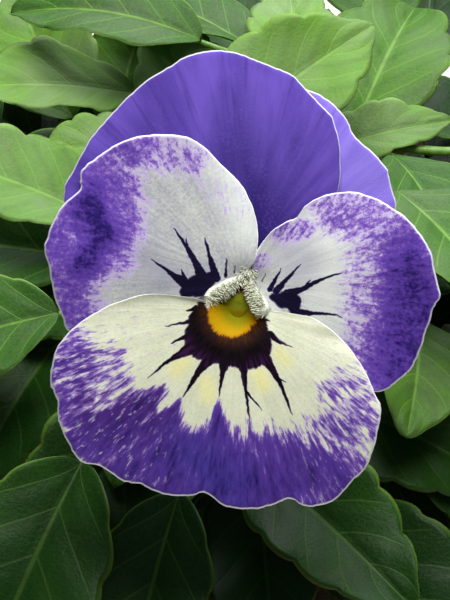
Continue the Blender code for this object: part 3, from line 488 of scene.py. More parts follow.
BLOOM_AT = Vector((0.0, -43.0, 138.0))
BLOOM_TILT = math.radians(45)
VIEW_DISTANCE = 260.0
VIEW_CENTRE = Vector((-1.1, 0.3))
PETAL_THICKNESS = 0.6
PETAL_RINGS = (0.12, 0.3, 0.55, 0.8, 1.0)
BLOOM_DOME = 0.0065
PETALS = {
    "petal_lower": {
        "foot": (0.3, -0.6), "foot_depth": -2.5, "face_depth": 0.7, "claw": 2.2, "lean": 0.05,
        "ruffle": (0.55, 7, 0.6),
        "outline": (
            (-3.4, 0.35), (-5.6, 0.7), (-8.6, 0.9), (-10.6, 0.5), (-12.8, -0.3), (-14.9, -1.5),
            (-16.6, -2.8), (-18.0, -4.8), (-18.6, -7.2), (-18.3, -8.7), (-17.8, -10.0),
            (-17.7, -11.7), (-16.8, -14.0), (-15.6, -15.7), (-13.6, -16.3), (-11.4, -17.7),
            (-9.6, -18.1), (-7.1, -19.1), (-4.6, -19.2), (-3.0, -19.0), (-1.2, -20.2),
            (1.2, -20.6), (3.2, -20.3), (5.4, -19.6), (7.1, -20.3), (9.6, -19.8), (11.4, -18.0),
            (13.1, -16.3), (14.1, -13.2), (14.5, -10.7), (13.9, -9.1), (13.2, -7.4), (11.6, -4.8),
            (10.0, -3.1), (7.9, -1.6), (5.4, -1.0), (3.9, -0.8),
        ),
    },
    "petal_side_left": {
        "foot": (0.5, 2.3), "foot_depth": -2.3, "face_depth": -1.3, "claw": 1.6, "lean": 0.045,
        "ruffle": (0.45, 6, 2.2),
        "outline": (
            (1.75, 3.9), (2.1, 4.9), (2.2, 6.4), (2.1, 8.0), (1.4, 10.3), (0.2, 12.2), (-1.8, 14.2),
            (-3.6, 15.9), (-5.5, 16.7), (-8.6, 16.8), (-11.1, 16.3), (-13.6, 14.8), (-15.3, 13.4),
            (-15.5, 12.2), (-15.6, 11.4), (-17.6, 9.3), (-18.9, 6.5), (-19.1, 5.3), (-18.6, 3.0),
            (-18.0, 0.3), (-17.2, -1.8), (-16.4, -2.9), (-13.6, -3.4), (-11.0, -2.6),
            (-7.6, -1.2), (-4.8, 0.0), (-2.4, 0.5),
        ),
    },
    "petal_side_right": {
        "foot": (1.7, 2.0), "foot_depth": -2.3, "face_depth": -1.3, "claw": 1.6, "lean": 0.045,
        "ruffle": (0.45, 6, 0.4),
        "outline": (
            (3.6, -1.2), (6.2, -3.6), (9.0, -6.0), (12.2, -8.2), (14.2, -8.9), (16.4, -7.6),
            (17.9, -5.9), (18.7, -3.7), (19.4, -1.7), (19.7, -0.5), (20.4, 0.8), (20.1, 2.1),
            (19.6, 4.5), (18.6, 6.6), (16.9, 8.6), (14.9, 9.9), (12.4, 11.0), (10.0, 11.0),
            (8.4, 10.6), (6.9, 9.7), (6.1, 8.6), (4.9, 8.1), (3.4, 7.0), (2.6, 6.0), (1.95, 5.1),
            (1.45, 4.4),
        ),
    },
    "petal_upper_left": {
        "foot": (0.8, 4.2), "foot_depth": -4.0, "face_depth": -3.1, "claw": 2.0, "lean": 0.075,
        "ruffle": (0.5, 7, 1.0),
        "outline": (
            (5.6, 5.9), (8.4, 8.6), (10.2, 11.3), (10.4, 14.3), (10.2, 16.5), (9.4, 18.8),
            (7.4, 20.8), (5.8, 22.6), (3.4, 23.6), (0.8, 24.7), (-1.8, 25.2), (-4.6, 24.7),
            (-6.6, 23.6), (-8.6, 22.3), (-10.9, 20.4), (-13.0, 18.2), (-14.8, 15.9), (-16.0, 13.7),
            (-17.1, 11.4), (-16.9, 9.4), (-14.6, 6.2), (-10.0, 4.2), (-4.6, 3.3),
        ),
    },
    "petal_upper_right": {
        "foot": (1.7, 4.0), "foot_depth": -5.1, "face_depth": -4.4, "claw": 2.0, "lean": 0.09,
        "ruffle": (0.5, 6, 2.6),
        "outline": (
            (6.4, 3.5), (11.0, 4.8), (14.2, 6.4), (15.9, 9.2), (15.3, 12.2), (15.0, 13.4),
            (13.4, 15.2), (11.9, 16.5), (10.9, 18.4), (9.2, 20.2), (7.0, 21.3), (4.6, 21.6),
            (2.6, 20.4), (1.4, 17.4), (1.0, 13.0), (1.0, 7.8),
        ),
    },
}
BEARDS = {
    "petal_side_left": (
        (1.3, 3.5, -2.1), (0.5, 2.6, -2.0), (-0.7, 2.0, -1.5), (-1.6, 1.4, -1.1),
        (-2.4, 1.0, -0.6), (-2.95, 0.45, -0.1),
    ),
    "petal_side_right": (
        (1.4, 3.4, -2.1), (1.6, 2.0, -1.8), (2.1, 0.8, -1.1), (2.6, 0.0, -0.5),
        (2.85, -0.65, 0.0), (2.65, -1.15, -0.1),
    ),
}
BEARD_RADII = (0.2, 0.3, 0.45, 0.55, 0.525, 0.35)
CLAW_RADIUS = 0.45
CLAWS = {
    "petal_side_left": (-0.75, 2.4),
    "petal_side_right": (2.75, 2.3),
    "petal_upper_left": (0.2, 4.4),
    "petal_upper_right": (2.0, 4.2),
}
RECEPTACLE_FRONT = -6.0
SPUR_PATH = ((0.2, -0.75, -3.4), (0.1, -0.85, -6.0), (0.0, -1.1, -8.0), (0.0, -1.6, -10.6))
SPUR_RADII = (1.25, 1.15, 1.05, 0.95)

FINE_THICKNESS = 0.34
FINE_STEPS = 8
FINE_RINGS = 66
FINE_EDGE = 0.985
SCALLOP = 0.13
FOLDS = 17
FOLD_DEPTH = 0.035
NIBBLE_STEPS = (0.21, 0.55)
FINE_NIBBLES = 0.6
SIDE_RAYS = 3


def bloom_matrix():
    """From the bloom's frame to the row frame, both in millimetres."""
    right = Vector((1, 0, 0))
    up = Vector((0, math.sin(BLOOM_TILT), math.cos(BLOOM_TILT)))
    out = Vector((0, -math.cos(BLOOM_TILT), math.sin(BLOOM_TILT)))
    turn = Matrix((right, up, out)).transposed()
    return Matrix.Translation(BLOOM_AT) @ turn.to_4x4()


BLOOM = bloom_matrix()


def in_row(points):
    """Points of the bloom's frame, taken to the row frame."""
    return [BLOOM @ Vector(p) for p in points]


def seen_at(x, y, depth):
    """The point at that depth which is seen at (x, y) of the face from the viewing distance."""
    spread = 1 - depth / VIEW_DISTANCE
    seen = [middle + (part - middle) * spread for part, middle in zip((x, y), VIEW_CENTRE)]
    return Vector((*seen, depth))


def petal_depth(petal, x, y, reach):
    """Depth of the petal's middle surface at (x, y); reach runs from 0 at the foot to 1 at the edge."""
    from_foot = math.hypot(x - petal["foot"][0], y - petal["foot"][1])
    bearing = math.atan2(y - petal["foot"][1], x - petal["foot"][0])
    claw = math.exp(-((from_foot / petal["claw"]) ** 2))
    height, count, phase = petal["ruffle"]
    ruffle = height * math.sin(count * bearing + phase) * reach**3
    dome = BLOOM_DOME * (x * x + y * y)
    lean = petal["lean"] * from_foot
    level = petal["face_depth"] + (petal["foot_depth"] - petal["face_depth"]) * claw
    return level - dome - lean + ruffle


def rounded_line(points, steps):
    """Points on a smooth line through the given ones, with that many steps between each two."""
    points = [Vector(p) for p in points]
    ends = [points[0] * 2 - points[1]] + points + [points[-1] * 2 - points[-2]]
    found = []
    for a, b, c, d in zip(ends, ends[1:], ends[2:], ends[3:]):
        for step in range(steps):
            t = step / steps
            found.append(
                0.5 * (b * 2 + (c - a) * t + (a * 2 - b * 5 + c * 4 - d) * t * t
                       + (b * 3 - a - c * 3 + d) * t**3)
            )
    return found + [points[-1]]


def fine_petal(petal):
    """The petal's blade with fine rings and rays, and for each point its (x, y) and its way to the rim.

    The front and the back share their points along the rim, the two side rays and the foot.
    """
    foot = Vector(petal["foot"])
    rim = []
    for index, spot in enumerate(rounded_line(petal["outline"], FINE_STEPS)):
        nibble = noise.noise(Vector((index * NIBBLE_STEPS[0], foot.x * 7, foot.y * 3)))
        nibble += FINE_NIBBLES * noise.noise(Vector((index * NIBBLE_STEPS[1], foot.y * 5, 2.0)))
        rim.append(spot + (spot - foot).normalized() * SCALLOP * nibble)
    last = len(rim) - 1
    points, painted, rows = [], [], {1: [], -1: []}
    for side in (1, -1):
        for ring in range(FINE_RINGS + 1):
            reach = ring / FINE_RINGS
            row = []
            for ray, edge in enumerate(rim):
                if ring == 0 and ray:
                    row.append(row[0])
                    continue
                if side == -1 and (ring in (0, FINE_RINGS) or ray in (0, last)):
                    row.append(rows[1][ring][ray])
                    continue
                at = foot + (edge - foot) * reach
                bearing = math.atan2(edge.y - foot.y, edge.x - foot.x)
                shake = noise.noise(Vector((bearing * 2.5, foot.x, reach * 1.5)))
                fold = FOLD_DEPTH * math.sin(FOLDS * bearing + 5 * shake) * reach * (1 + 2 * reach**4)
                body = min(1.0, math.sqrt(max(0.0, (1 - reach) / (1 - FINE_EDGE))))
                body *= min(1.0, ray / SIDE_RAYS, (last - ray) / SIDE_RAYS)
                depth = petal_depth(petal, at.x, at.y, reach) + fold + side * FINE_THICKNESS / 2 * body
                row.append(len(points))
                points.append(seen_at(at.x, at.y, depth))
                painted.append((at.x, at.y, (edge - foot).length * (1 - reach)))
            rows[side].append(row)
    faces = []
    for side in (1, -1):
        for low, high in zip(rows[side], rows[side][1:]):
            for ray in range(last):
                corners = (low[ray], high[ray], high[ray + 1], low[ray + 1])
                corners = tuple(dict.fromkeys(corners))
                faces.append(corners if side == 1 else tuple(reversed(corners)))
    return points, faces, painted


def tubed_tree():
    """Keeps the faces of a mesh as they are, and grows a round tube along each row of its loose edges.

    A point's thickness is the tube's radius there. Blades and tubes each have their own finish.
    """
    given = tree_of("Blades And Tubes", {
        "Geometry": "Geometry", "Sides": 12, "Steps": 5, "Unevenness": 0.00005,
        "Blade Finish": "Material", "Tube Finish": "Material",
    })
    beside = {2: geo("InputMeshEdgeNeighbors"), 3: 0}
    loose = add("FunctionNodeCompare", beside, data_type="INT", operation="EQUAL")[0]
    line = geo("MeshToCurve", {"Mesh": given["Geometry"], "Selection": loose})
    line = geo("CurveSplineType", {"Curve": line}, spline_type="CATMULL_ROM")
    line = geo("SetSplineResolution", {"Geometry": line, "Resolution": given["Steps"]})
    thickness = {"Name": "thickness"}
    thickness = add("GeometryNodeInputNamedAttribute", thickness, data_type="FLOAT")["Attribute"]
    ring = geo("CurvePrimitiveCircle", {"Radius": 1.0, "Resolution": given["Sides"]})
    tubes = {"Curve": line, "Profile Curve": ring, "Scale": thickness, "Fill Caps": True}
    tubes = geo("CurveToMesh", tubes)
    bumps = noisy(geo("InputPosition"), 700.0, 1.0)[0]
    lift = vectors("SCALE", geo("InputNormal"), times(minus(bumps, 0.5), given["Unevenness"]))
    tubes = geo("SetPosition", {"Geometry": tubes, "Offset": lift})
    tubes = geo("SetMaterial", {"Geometry": tubes, "Material": given["Tube Finish"]})
    blades = {"Geometry": given["Geometry"], "Selection": loose}
    blades = geo("DeleteGeometry", blades, domain="EDGE")
    blades = geo("SetMaterial", {"Geometry": blades, "Material": given["Blade Finish"]})
    return body_end(geo("JoinGeometry", {0: [tubes, blades]}), None)


TUBED = tubed_tree()


def blades_and_tubes(name, blades, tubes, settings, label):
    """One mesh from closed blades, each with a vector on its points under that label, and from tubes."""
    points, edges, faces, marks, thickness = [], [], [], [], []
    for blade_points, blade_faces, blade_marks in blades:
        first = len(points)
        points += blade_points
        faces += [tuple(first + corner for corner in face) for face in blade_faces]
        marks += blade_marks
        thickness += [0.0] * len(blade_points)
    for path, radii in tubes:
        first = len(points)
        points += [Vector(p) for p in path]
        edges += [(first + low, first + high) for low, high in chain(len(path))]
        marks += [(0.0, 0.0, 0.0)] * len(path)
        thickness += [radius * MM for radius in radii]
    base = mesh_of(name, points, edges, faces, {label: marks, "thickness": thickness})
    made = grown(base, TUBED, settings)
    made.name = name
    return made


def stroke_group():
    """How deep a point lies in a brush stroke between two spots, from 0.5 at the stroke's edge upwards.

    The brush is as wide as Start Width and End Width say at its ends. Softness is how far its edge
    spreads, and Strength the most that the stroke may give.
    """
    given = tree_of("Brush Stroke", {
        "Point": "Vector", "Start": "Vector", "End": "Vector", "Start Width": 1.0, "End Width": 1.0,
        "Softness": 1.0, "Strength": 1.0,
    }, ("Density",))
    to_point = vectors("SUBTRACT", given["Point"], given["Start"])
    along = vectors("SUBTRACT", given["End"], given["Start"])
    whole = vectors("DOT_PRODUCT", along, along)
    share = maths("DIVIDE", vectors("DOT_PRODUCT", to_point, along), whole)
    share = add("ShaderNodeClamp", {"Value": share})[0]
    away = vectors("DISTANCE", to_point, vectors("SCALE", along, share))
    width = times_plus(minus(given["End Width"], given["Start Width"]), share, given["Start Width"])
    inside = maths("DIVIDE", minus(width, away), given["Softness"])
    return tree_end(Density=maths("MINIMUM", plus(inside, 0.5), given["Strength"]))


STROKE = stroke_group()


def brushed(point, strokes):
    """The deepest that the point lies in any of the strokes.

    A stroke is its softness, its strength and the spots it passes, as (x, y, half its width).
    """
    deepest = 0.0
    for softness, strength, spots in strokes:
        for (x, y, width), (far_x, far_y, far_width) in zip(spots, spots[1:]):
            stroke = add_group(STROKE, {
                "Point": point, "Start": (x, y, 0.0), "End": (far_x, far_y, 0.0),
                "Start Width": width, "End Width": far_width, "Softness": softness, "Strength": strength,
            })
            deepest = maths("MAXIMUM", deepest, stroke[0])
    return deepest


def streak_group():
    """Streaks that run out from a petal's foot: Spokes sets how many, and Length how long they are."""
    given = tree_of("Streaks From The Foot", {
        "Point": "Vector", "Foot": "Vector", "Spokes": 30.0, "Length": 1.5, "Detail": 3.0,
    }, ("Mask",))
    away = vectors("SUBTRACT", given["Point"], given["Foot"])
    spoke = split(vectors("SCALE", vectors("NORMALIZE", away), given["Spokes"]))
    far = maths("DIVIDE", vectors("LENGTH", away), given["Length"])
    place = joined(spoke[0], spoke[1], far)
    return tree_end(Mask=noisy(place, 1.0, given["Detail"], Roughness=0.6, Distortion=0.25)[0])


STREAKS = streak_group()


def streaks(point, foot, spokes, length, detail=3.0):
    """The streak group placed in a material, with its own foot and sizes."""
    inputs = {"Point": point, "Foot": (*foot, 0.0), "Spokes": spokes, "Length": length, "Detail": detail}
    return add_group(STREAKS, inputs)[0]


def tint(red, green, blue):
    """A colour as a screen shows it, from 0 to 255, turned into the shader's own values."""
    shares = [value / 255 for value in (red, green, blue)]
    return tuple(s / 12.92 if s <= 0.04045 else ((s + 0.055) / 1.055) ** 2.4 for s in shares)


WHITE = tint(184, 188, 184)
WHITE_SHADE = tint(168, 170, 172)
# painted light on the white of the side petals
LIT_WHITE = tint(208, 214, 206)
# Painted shade: the left side petal's white and grey are darker copies of the right one's
SHADED_WHITE = tint(176, 180, 174)
SHADED_GREY = tint(146, 147, 156)
DUSKY_WHITE = tint(138, 137, 152)
CREAM = tint(213, 217, 192)
CREAM_SHADE = tint(198, 202, 176)
CREAM_YELLOW = tint(238, 228, 112)
LAVENDER = tint(176, 162, 200)
LAVENDER_DEEP = tint(126, 94, 170)
VIOLET = tint(80, 52, 142)
VIOLET_DEEP = tint(30, 15, 84)
VIOLET_WARM = tint(62, 30, 98)
VIOLET_BLUE = tint(60, 50, 136)
INDIGO = tint(10, 5, 30)
RAY_FRINGE = tint(52, 34, 96)
INDIGO_LIGHT = tint(28, 16, 72)
BLOTCH = tint(5, 1, 3)
BLOTCH_PURPLE = tint(19, 7, 17)
BLOTCH_BROWN = tint(62, 32, 8)
PATCH_PURPLE = tint(52, 20, 62)
THROAT_YELLOW = tint(170, 134, 4)
THROAT_GOLD = tint(164, 104, 3)
THROAT_OLIVE = tint(120, 118, 8)
REDDISH_BROWN = tint(66, 26, 10)
EDGE_WHITE = tint(226, 224, 234)

# The dark rays that lead to the throat, and where the violet lies, as brush strokes on each petal
DARK = {
    "petal_lower": (
        (0.45, 1.0, ((-3.5, -0.2, 0.35), (-3.5, -1.6, 1.2), (-3.0, -3.6, 2.2), (1.2, -4.3, 2.35))),
        (0.45, 1.0, ((1.2, -4.3, 2.35), (2.1, -2.6, 1.1), (2.6, -1.2, 0.35))),
        (0.22, 1.0, ((-3.6, -1.5, 0.4), (-4.8, -1.9, 0.18), (-7.1, -2.3, 0.02))),
        (0.22, 1.0, ((-4.0, -0.5, 0.3), (-4.9, -0.8, 0.04))),
        (0.22, 1.0, ((-4.4, -3.2, 0.35), (-5.6, -3.6, 0.15), (-6.5, -4.0, 0.03))),
        (0.25, 1.0, ((-3.8, -4.2, 0.85), (-6.1, -5.4, 0.26), (-7.1, -6.0, 0.14), (-8.8, -7.5, 0.02))),
        (0.25, 1.0, ((-2.6, -5.5, 0.7), (-3.8, -6.9, 0.27), (-5.3, -9.4, 0.03))),
        (0.25, 1.0, ((-1.1, -5.7, 0.6), (-1.4, -7.2, 0.22), (-1.7, -9.3, 0.03))),
        (0.25, 1.0, ((0.7, -5.7, 0.7), (0.8, -7.2, 0.3), (1.0, -8.9, 0.15), (1.4, -12.2, 0.02))),
        (0.2, 1.0, ((1.0, -8.8, 0.15), (2.6, -10.7, 0.02))),
        (0.25, 1.0, ((2.2, -4.8, 1.0), (3.5, -6.4, 0.36), (4.6, -8.4, 0.18), (5.6, -11.2, 0.02))),
        (0.2, 1.0, ((4.2, -7.6, 0.16), (5.0, -7.9, 0.03))),
        (0.25, 1.0, ((2.4, -3.2, 0.6), (3.4, -3.1, 0.3), (4.2, -3.8, 0.18), (5.6, -4.4, 0.02))),
        (0.2, 1.0, ((2.4, -1.6, 0.3), (3.4, -1.8, 0.04))),
    ),
    "petal_side_left": (
        (0.4, 1.0, ((-5.1, 1.1, 0.55), (-3.9, 1.7, 1.1), (-2.3, 2.6, 0.6))),
        (0.22, 1.0, ((-5.1, 2.4, 0.3), (-5.5, 3.4, 0.05))),
        (0.22, 1.0, ((-4.9, 1.8, 0.55), (-6.8, 3.2, 0.2), (-8.5, 4.4, 0.02))),
        (0.22, 1.0, ((-3.4, 2.6, 0.6), (-3.9, 3.8, 0.36), (-5.0, 5.7, 0.18), (-6.2, 7.5, 0.02))),
        (0.2, 1.0, ((-4.8, 5.4, 0.14), (-5.0, 6.4, 0.02))),
        (0.22, 1.0, ((-2.0, 2.5, 0.45), (-2.65, 4.7, 0.2), (-3.1, 6.5, 0.02))),
        (0.22, 1.0, ((-1.05, 2.7, 0.16), (-0.95, 4.4, 0.02))),
        (0.3, 0.7, ((-0.2, 3.0, 0.05), (-0.1, 3.7, 0.02))),
    ),
    "petal_side_right": (
        (0.4, 1.0, ((3.7, 0.6, 0.35), (4.7, 0.3, 0.8), (5.7, 0.2, 0.8), (5.9, -0.9, 0.5))),
        (0.22, 1.0, ((5.2, 0.9, 0.5), (6.5, 1.35, 0.28), (8.4, 2.3, 0.17), (10.7, 3.1, 0.02))),
        (0.2, 1.0, ((6.9, 1.6, 0.16), (7.4, 2.3, 0.03))),
        (0.22, 1.0, ((4.0, 1.2, 0.34), (5.4, 2.7, 0.17), (6.5, 3.9, 0.02))),
        (0.22, 1.0, ((3.4, 1.4, 0.26), (3.9, 2.3, 0.17), (4.5, 3.4, 0.02))),
        (0.22, 1.0, ((5.9, -0.9, 0.4), (7.6, -1.0, 0.18), (10.1, -1.2, 0.05), (10.6, -1.45, 0.02))),
        (0.2, 0.8, ((2.6, 2.2, 0.05), (2.95, 2.9, 0.02))),
    ),
}
VIOLETS = {
    "petal_lower": (
        (1.2, 1.0, ((-12.0, -12.2, 2.2), (-9.3, -10.2, 1.4), (-7.5, -8.8, 0.5))),
        (1.0, 1.0, ((-8.0, -13.5, 2.2), (-5.6, -10.0, 0.3))),
        (0.9, 1.0, ((-1.8, -16.5, 3.0), (-1.8, -12.5, 1.1), (-1.65, -9.7, 0.1))),
        (3.0, 0.95, ((-15.0, -12.8, 3.0), (-8.5, -16.2, 3.8))),
        (2.2, 1.05, ((-6.0, -17.0, 4.4), (0.5, -18.2, 4.4))),
        (3.4, 0.95, ((1.4, -17.4, 4.6), (8.5, -18.0, 4.6))),
        (4.5, 0.52, ((7.0, -14.6, 1.8), (12.4, -11.8, 2.0))),
        (3.6, 0.34, ((9.8, -8.8, 0.8), (13.4, -7.4, 1.2))),
        (4.5, 0.66, ((-16.0, -5.0, 1.8), (-17.0, -9.4, 3.4))),
        (3.2, 0.46, ((-12.8, -5.2, 0.8), (-12.6, -8.6, 1.6))),
    ),
    "petal_side_left": (
        (5.0, 0.95, ((-14.6, 11.6, 1.8), (-15.2, 8.8, 2.8), (-13.6, 6.8, 2.6), (-16.0, 3.4, 2.4))),
        (5.0, 0.72, ((-18.2, 8.0, 2.4), (-18.6, 3.0, 2.8), (-16.0, -1.0, 2.0))),
        (4.0, 0.62, ((-15.2, 13.8, 1.6), (-9.6, 15.8, 1.8))),
        (4.0, 0.5, ((-9.6, 15.4, 1.2), (-4.6, 14.4, 0.8))),
        (4.5, 0.55, ((-11.4, 12.6, 1.4), (-11.2, 8.5, 1.4), (-12.2, 4.6, 1.2))),
        (4.0, 0.18, ((-3.9, 13.8, 0.6), (0.6, 9.8, 0.5))),
    ),
    "petal_side_right": (
        (7.5, 0.95, ((17.2, 5.4, 3.2), (18.0, 0.5, 4.6), (16.6, -7.0, 4.4))),
        (5.0, 0.52, ((9.8, 9.4, 1.4), (15.4, 8.6, 3.2))),
        (6.5, 0.42, ((13.4, 4.5, 1.0), (13.6, -2.5, 1.4), (13.6, -6.2, 1.8))),
        (2.4, 0.5, ((4.5, 7.2, 0.7), (6.8, 7.4, 0.6))),
        (1.6, 0.36, ((2.1, 4.0, 0.4), (2.8, 4.3, 0.3))),
    ),
}
DEEP = {
    "petal_lower": (
        (3.0, 0.7, ((-13.0, -13.4, 0.5), (-9.0, -11.4, 0.5))),
        (2.5, 0.7, ((-7.0, -17.0, 0.5), (-5.8, -11.0, 0.3))),
        (2.5, 0.6, ((-1.9, -18.0, 0.5), (-1.8, -11.5, 0.2))),
        (3.5, 0.6, ((2.0, -18.5, 0.8), (7.0, -17.0, 0.8))),
    ),
    "petal_side_left": (
        (3.4, 2.2, ((-13.4, 11.4, 1.3), (-13.8, 9.2, 1.8), (-12.6, 7.4, 1.4), (-14.8, 3.6, 0.7))),
    ),
    "petal_side_right": (
        (5.0, 0.4, ((16.6, 4.6, 0.6), (17.4, -0.5, 1.4), (15.8, -6.5, 1.4))),
    ),
}
THROAT = ((0.7, 1.0, ((-0.45, -1.1, 2.35), (0.2, -0.6, 2.2))),)
THROAT_TOP = ((0.8, 1.0, ((0.75, 1.1, 0.5), (1.05, 2.2, 0.3))),)
# Painted shade: where the knob shades the yellow cup below it, in olive
KNOB_SHADE = ((2.0, 1.0, ((0.1, 0.4, 1.9), (0.1, -1.0, 1.2))),)
# How far to either side of the middle the violet breaks up into flecks: from where, and where fully
FLECKED = (4.0, 11.0)
YELLOW_TINTS = (
    (2.2, 0.9, ((-5.2, -5.8, 0.4), (-6.0, -6.6, 0.4))),
    (2.0, 1.0, ((2.3, -7.0, 0.4), (2.7, -8.2, 0.4))),
    (1.8, 0.9, ((4.4, -5.0, 0.3), (5.0, -5.8, 0.3))),
    (2.0, 0.6, ((-2.9, -8.0, 0.4), (-2.8, -9.2, 0.4))),
)
WARM_VIOLET = ((7.0, 1.0, ((-14.0, -9.0, 2.5), (-9.0, -10.0, 1.5))),)
BLUE_VIOLET = ((6.0, 1.0, ((-4.5, -15.0, 1.5), (-1.0, -18.0, 2.0))),)
# Painted shade on the upper petals: darker violet along their folds
FOLD_SHADE = (
    (6.0, 1.1, ((0.3, 19.5, 0.8), (0.6, 15.0, 2.6), (1.8, 11.0, 3.6), (2.2, 6.0, 4.0))),
    (6.0, 0.5, ((-9.0, 17.0, 0.1), (-6.0, 11.0, 0.8))),
    (7.0, 0.6, ((-13.0, 12.5, 1.2), (-9.0, 9.0, 1.0))),
    (6.0, 0.5, ((6.0, 16.0, 0.1), (5.0, 9.0, 0.8))),
)
# Painted light: where the white of the side petals is lit brightest
PAINTED_LIGHT = {
    "petal_side_left": ((5.0, 0.9, ((-1.5, 15.0, 1.6), (0.9, 12.0, 1.6), (1.2, 7.5, 1.2))),),
    "petal_side_right": ((5.0, 0.4, ((8.0, 6.0, 1.5), (10.5, 2.0, 1.5), (9.0, -1.0, 1.0))),),
}
# Where it lies in soft shade
DUSKY = {
    "petal_side_left": ((6.0, 0.75, ((-10.2, 5.4, 1.2), (-7.4, 2.6, 1.4))),),
    "petal_side_right": ((4.0, 0.6, ((5.0, 5.6, 0.8), (6.4, 4.2, 1.4))),),
}


def petal_paint(name):
    """A petal's finish: its shader, a point on its face, one that wavers, and its way to the rim."""
    made, shader = finish(
        name.replace("_", " ").title(), 0.7, subsurface_weight=0.1, subsurface_scale=0.3 * MM,
        subsurface_radius=(1.0, 0.8, 1.0), specular_ior_level=0.06,
    )
    parts = split(add("ShaderNodeAttribute", attribute_name="face")["Vector"])
    point = joined(parts[0], parts[1])
    shake = vectors("SUBTRACT", noisy(point, 1.7, 3.0)["Color"], (0.5, 0.5, 0.5))
    wavering = vectors("ADD", point, vectors("SCALE", shake, 0.3))
    return made, shader, point, vectors("MULTIPLY", wavering, (1.0, 1.0, 0.0)), parts[2]


def petal_close(shader, colour, point, foot, to_rim, edge_width=0.12):
    """The shared end of a petal's finish: its pale edge, faint raised veins and velvety skin."""
    edge = ramp(to_rim, edge_width * 0.7, edge_width * 1.8, 0.85, 0.0)
    set_inputs(shader, {"Base Color": mixed(edge, colour, EDGE_WHITE)})
    relief = times_plus(noisy(point, 7.0, 3.0)[0], 0.6, streaks(point, foot, 16.0, 9.0, 2.0))
    bumped(shader, relief, 0.09, 0.5)


def marked_petal(name, ground, ground_shade, streakiness, specks, dark_low, dark_high):
    """A pale petal with violet washes broken up into specks and streaks, and dark rays at its foot.

    Streakiness is how far the breaking up runs along the rays, and specks how many lie across them.
    """
    lower = name == "petal_lower"
    foot = PETALS[name]["foot"]
    made, shader, point, flat, to_rim = petal_paint(name)
    veins = streaks(point, foot, 22.0, 14.0)
    mottle = grain(point, 3.2, 0.5)["Mask"]
    shaded = times_plus(mottle, 0.8, times(veins, 0.2))
    colour = mixed(ramp(shaded, 0.38, 0.62), ground_shade, ground)
    if lower:
        warm = times(brushed(flat, YELLOW_TINTS), ramp(veins, 0.3, 0.6, 0.7, 1.0))
        colour = mixed(times(warm, 0.7), colour, CREAM_YELLOW)
    else:
        # painted light and painted shade on the white of the side petals
        colour = mixed(times(brushed(flat, PAINTED_LIGHT[name]), 0.8), colour, LIT_WHITE)
        colour = mixed(brushed(flat, DUSKY[name]), colour, DUSKY_WHITE)
    streak = streaks(point, foot, specks, 1.9 if lower else 1.1, 5.0)
    speck = noisy(point, 2.6, 5.0, Roughness=0.7)[0]
    broken = minus(times_plus(speck, 1.0 - streakiness, times(streak, streakiness)), 0.5)
    dense = minus(brushed(flat, VIOLETS[name]), ramp(to_rim, 0.05, 0.4, 0.2, 0.0))
    wide = minus(streaks(point, foot, 14.0, 4.0), 0.5)
    dense = times_plus(wide, 0.9 if lower else 0.5, dense)
    dense = times_plus(brushed(flat, DEEP[name]), 0.45, dense)
    tone = times(broken, ramp(dense, 0.0, 0.35, 0.2, 1.0))
    tone = times_plus(tone, 2.9 if lower else 2.3, dense)
    first, second, third, last = (0.2, 0.42, 0.62, 2.0) if lower else (0.12, 0.36, 0.66, 1.4)
    hue = VIOLET
    if lower:
        hue = mixed(brushed(flat, WARM_VIOLET), VIOLET, VIOLET_WARM)
        hue = mixed(brushed(flat, BLUE_VIOLET), hue, VIOLET_BLUE)
    colour = mixed(ramp(tone, first, second, 0.0, 0.85), colour, LAVENDER)
    colour = mixed(ramp(tone, (first + second) / 2, third), colour, LAVENDER_DEEP)
    colour = mixed(ramp(tone, second, third + 0.25), colour, hue)
    colour = mixed(ramp(tone, third + 0.2, last), colour, VIOLET_DEEP)
    if lower:
        flecks = ramp(streaks(point, foot, 46.0, 1.2, 5.0), 0.56, 0.68)
        spread = ramp(maths("ABSOLUTE", split(flat)[0]), *FLECKED)
        colour = mixed(times(times(flecks, spread), 0.8), colour, LAVENDER)
    rays = brushed(flat, DARK[name])
    spots = streaks(point, foot, 18.0, 3.0)
    ray = times_plus(minus(spots, 0.5), 1.0 if lower else 0.8, rays)
    colour = mixed(ramp(ray, 0.1, 0.5, 0.0, 0.25), colour, LAVENDER)
    dark = mixed(ramp(spots, 0.46 if lower else 0.52, 0.62 if lower else 0.76), dark_low, dark_high)
    if lower:
        far = vectors("DISTANCE", flat, (-0.2, -0.9, 0.0))
        outer = times(ramp(far, 4.2, 6.2), ramp(spots, 0.40, 0.56, 1.0, 0.0))
        dark = mixed(times(outer, ramp(far, 6.5, 8.0, 1.0, 0.0)), dark, PATCH_PURPLE)
        inner = times(ramp(far, 2.6, 4.2, 0.8, 0.0), ramp(spots, 0.42, 0.62, 1.0, 0.2))
        dark = mixed(inner, dark, BLOTCH_BROWN)
    colour = mixed(ramp(ray, 0.22, 0.5, 0.0, 0.8), colour, RAY_FRINGE)
    colour = mixed(ramp(ray, 0.38, 0.72), colour, dark)
    if lower:
        cup = times_plus(minus(spots, 0.5), 1.3, brushed(flat, THROAT))
        gold = mixed(ramp(cup, 0.4, 1.0), THROAT_GOLD, THROAT_YELLOW)
        # painted shade of the knob on the cup, in olive
        gold = mixed(ramp(brushed(flat, KNOB_SHADE), 0.05, 0.75), gold, THROAT_OLIVE)
        colour = mixed(ramp(cup, 0.25, 0.7), colour, gold)
        top = times(brushed(flat, THROAT_TOP), ramp(spots, 0.4, 0.55))
        colour = mixed(top, colour, REDDISH_BROWN)
    petal_close(shader, colour, point, foot, to_rim)
    return made


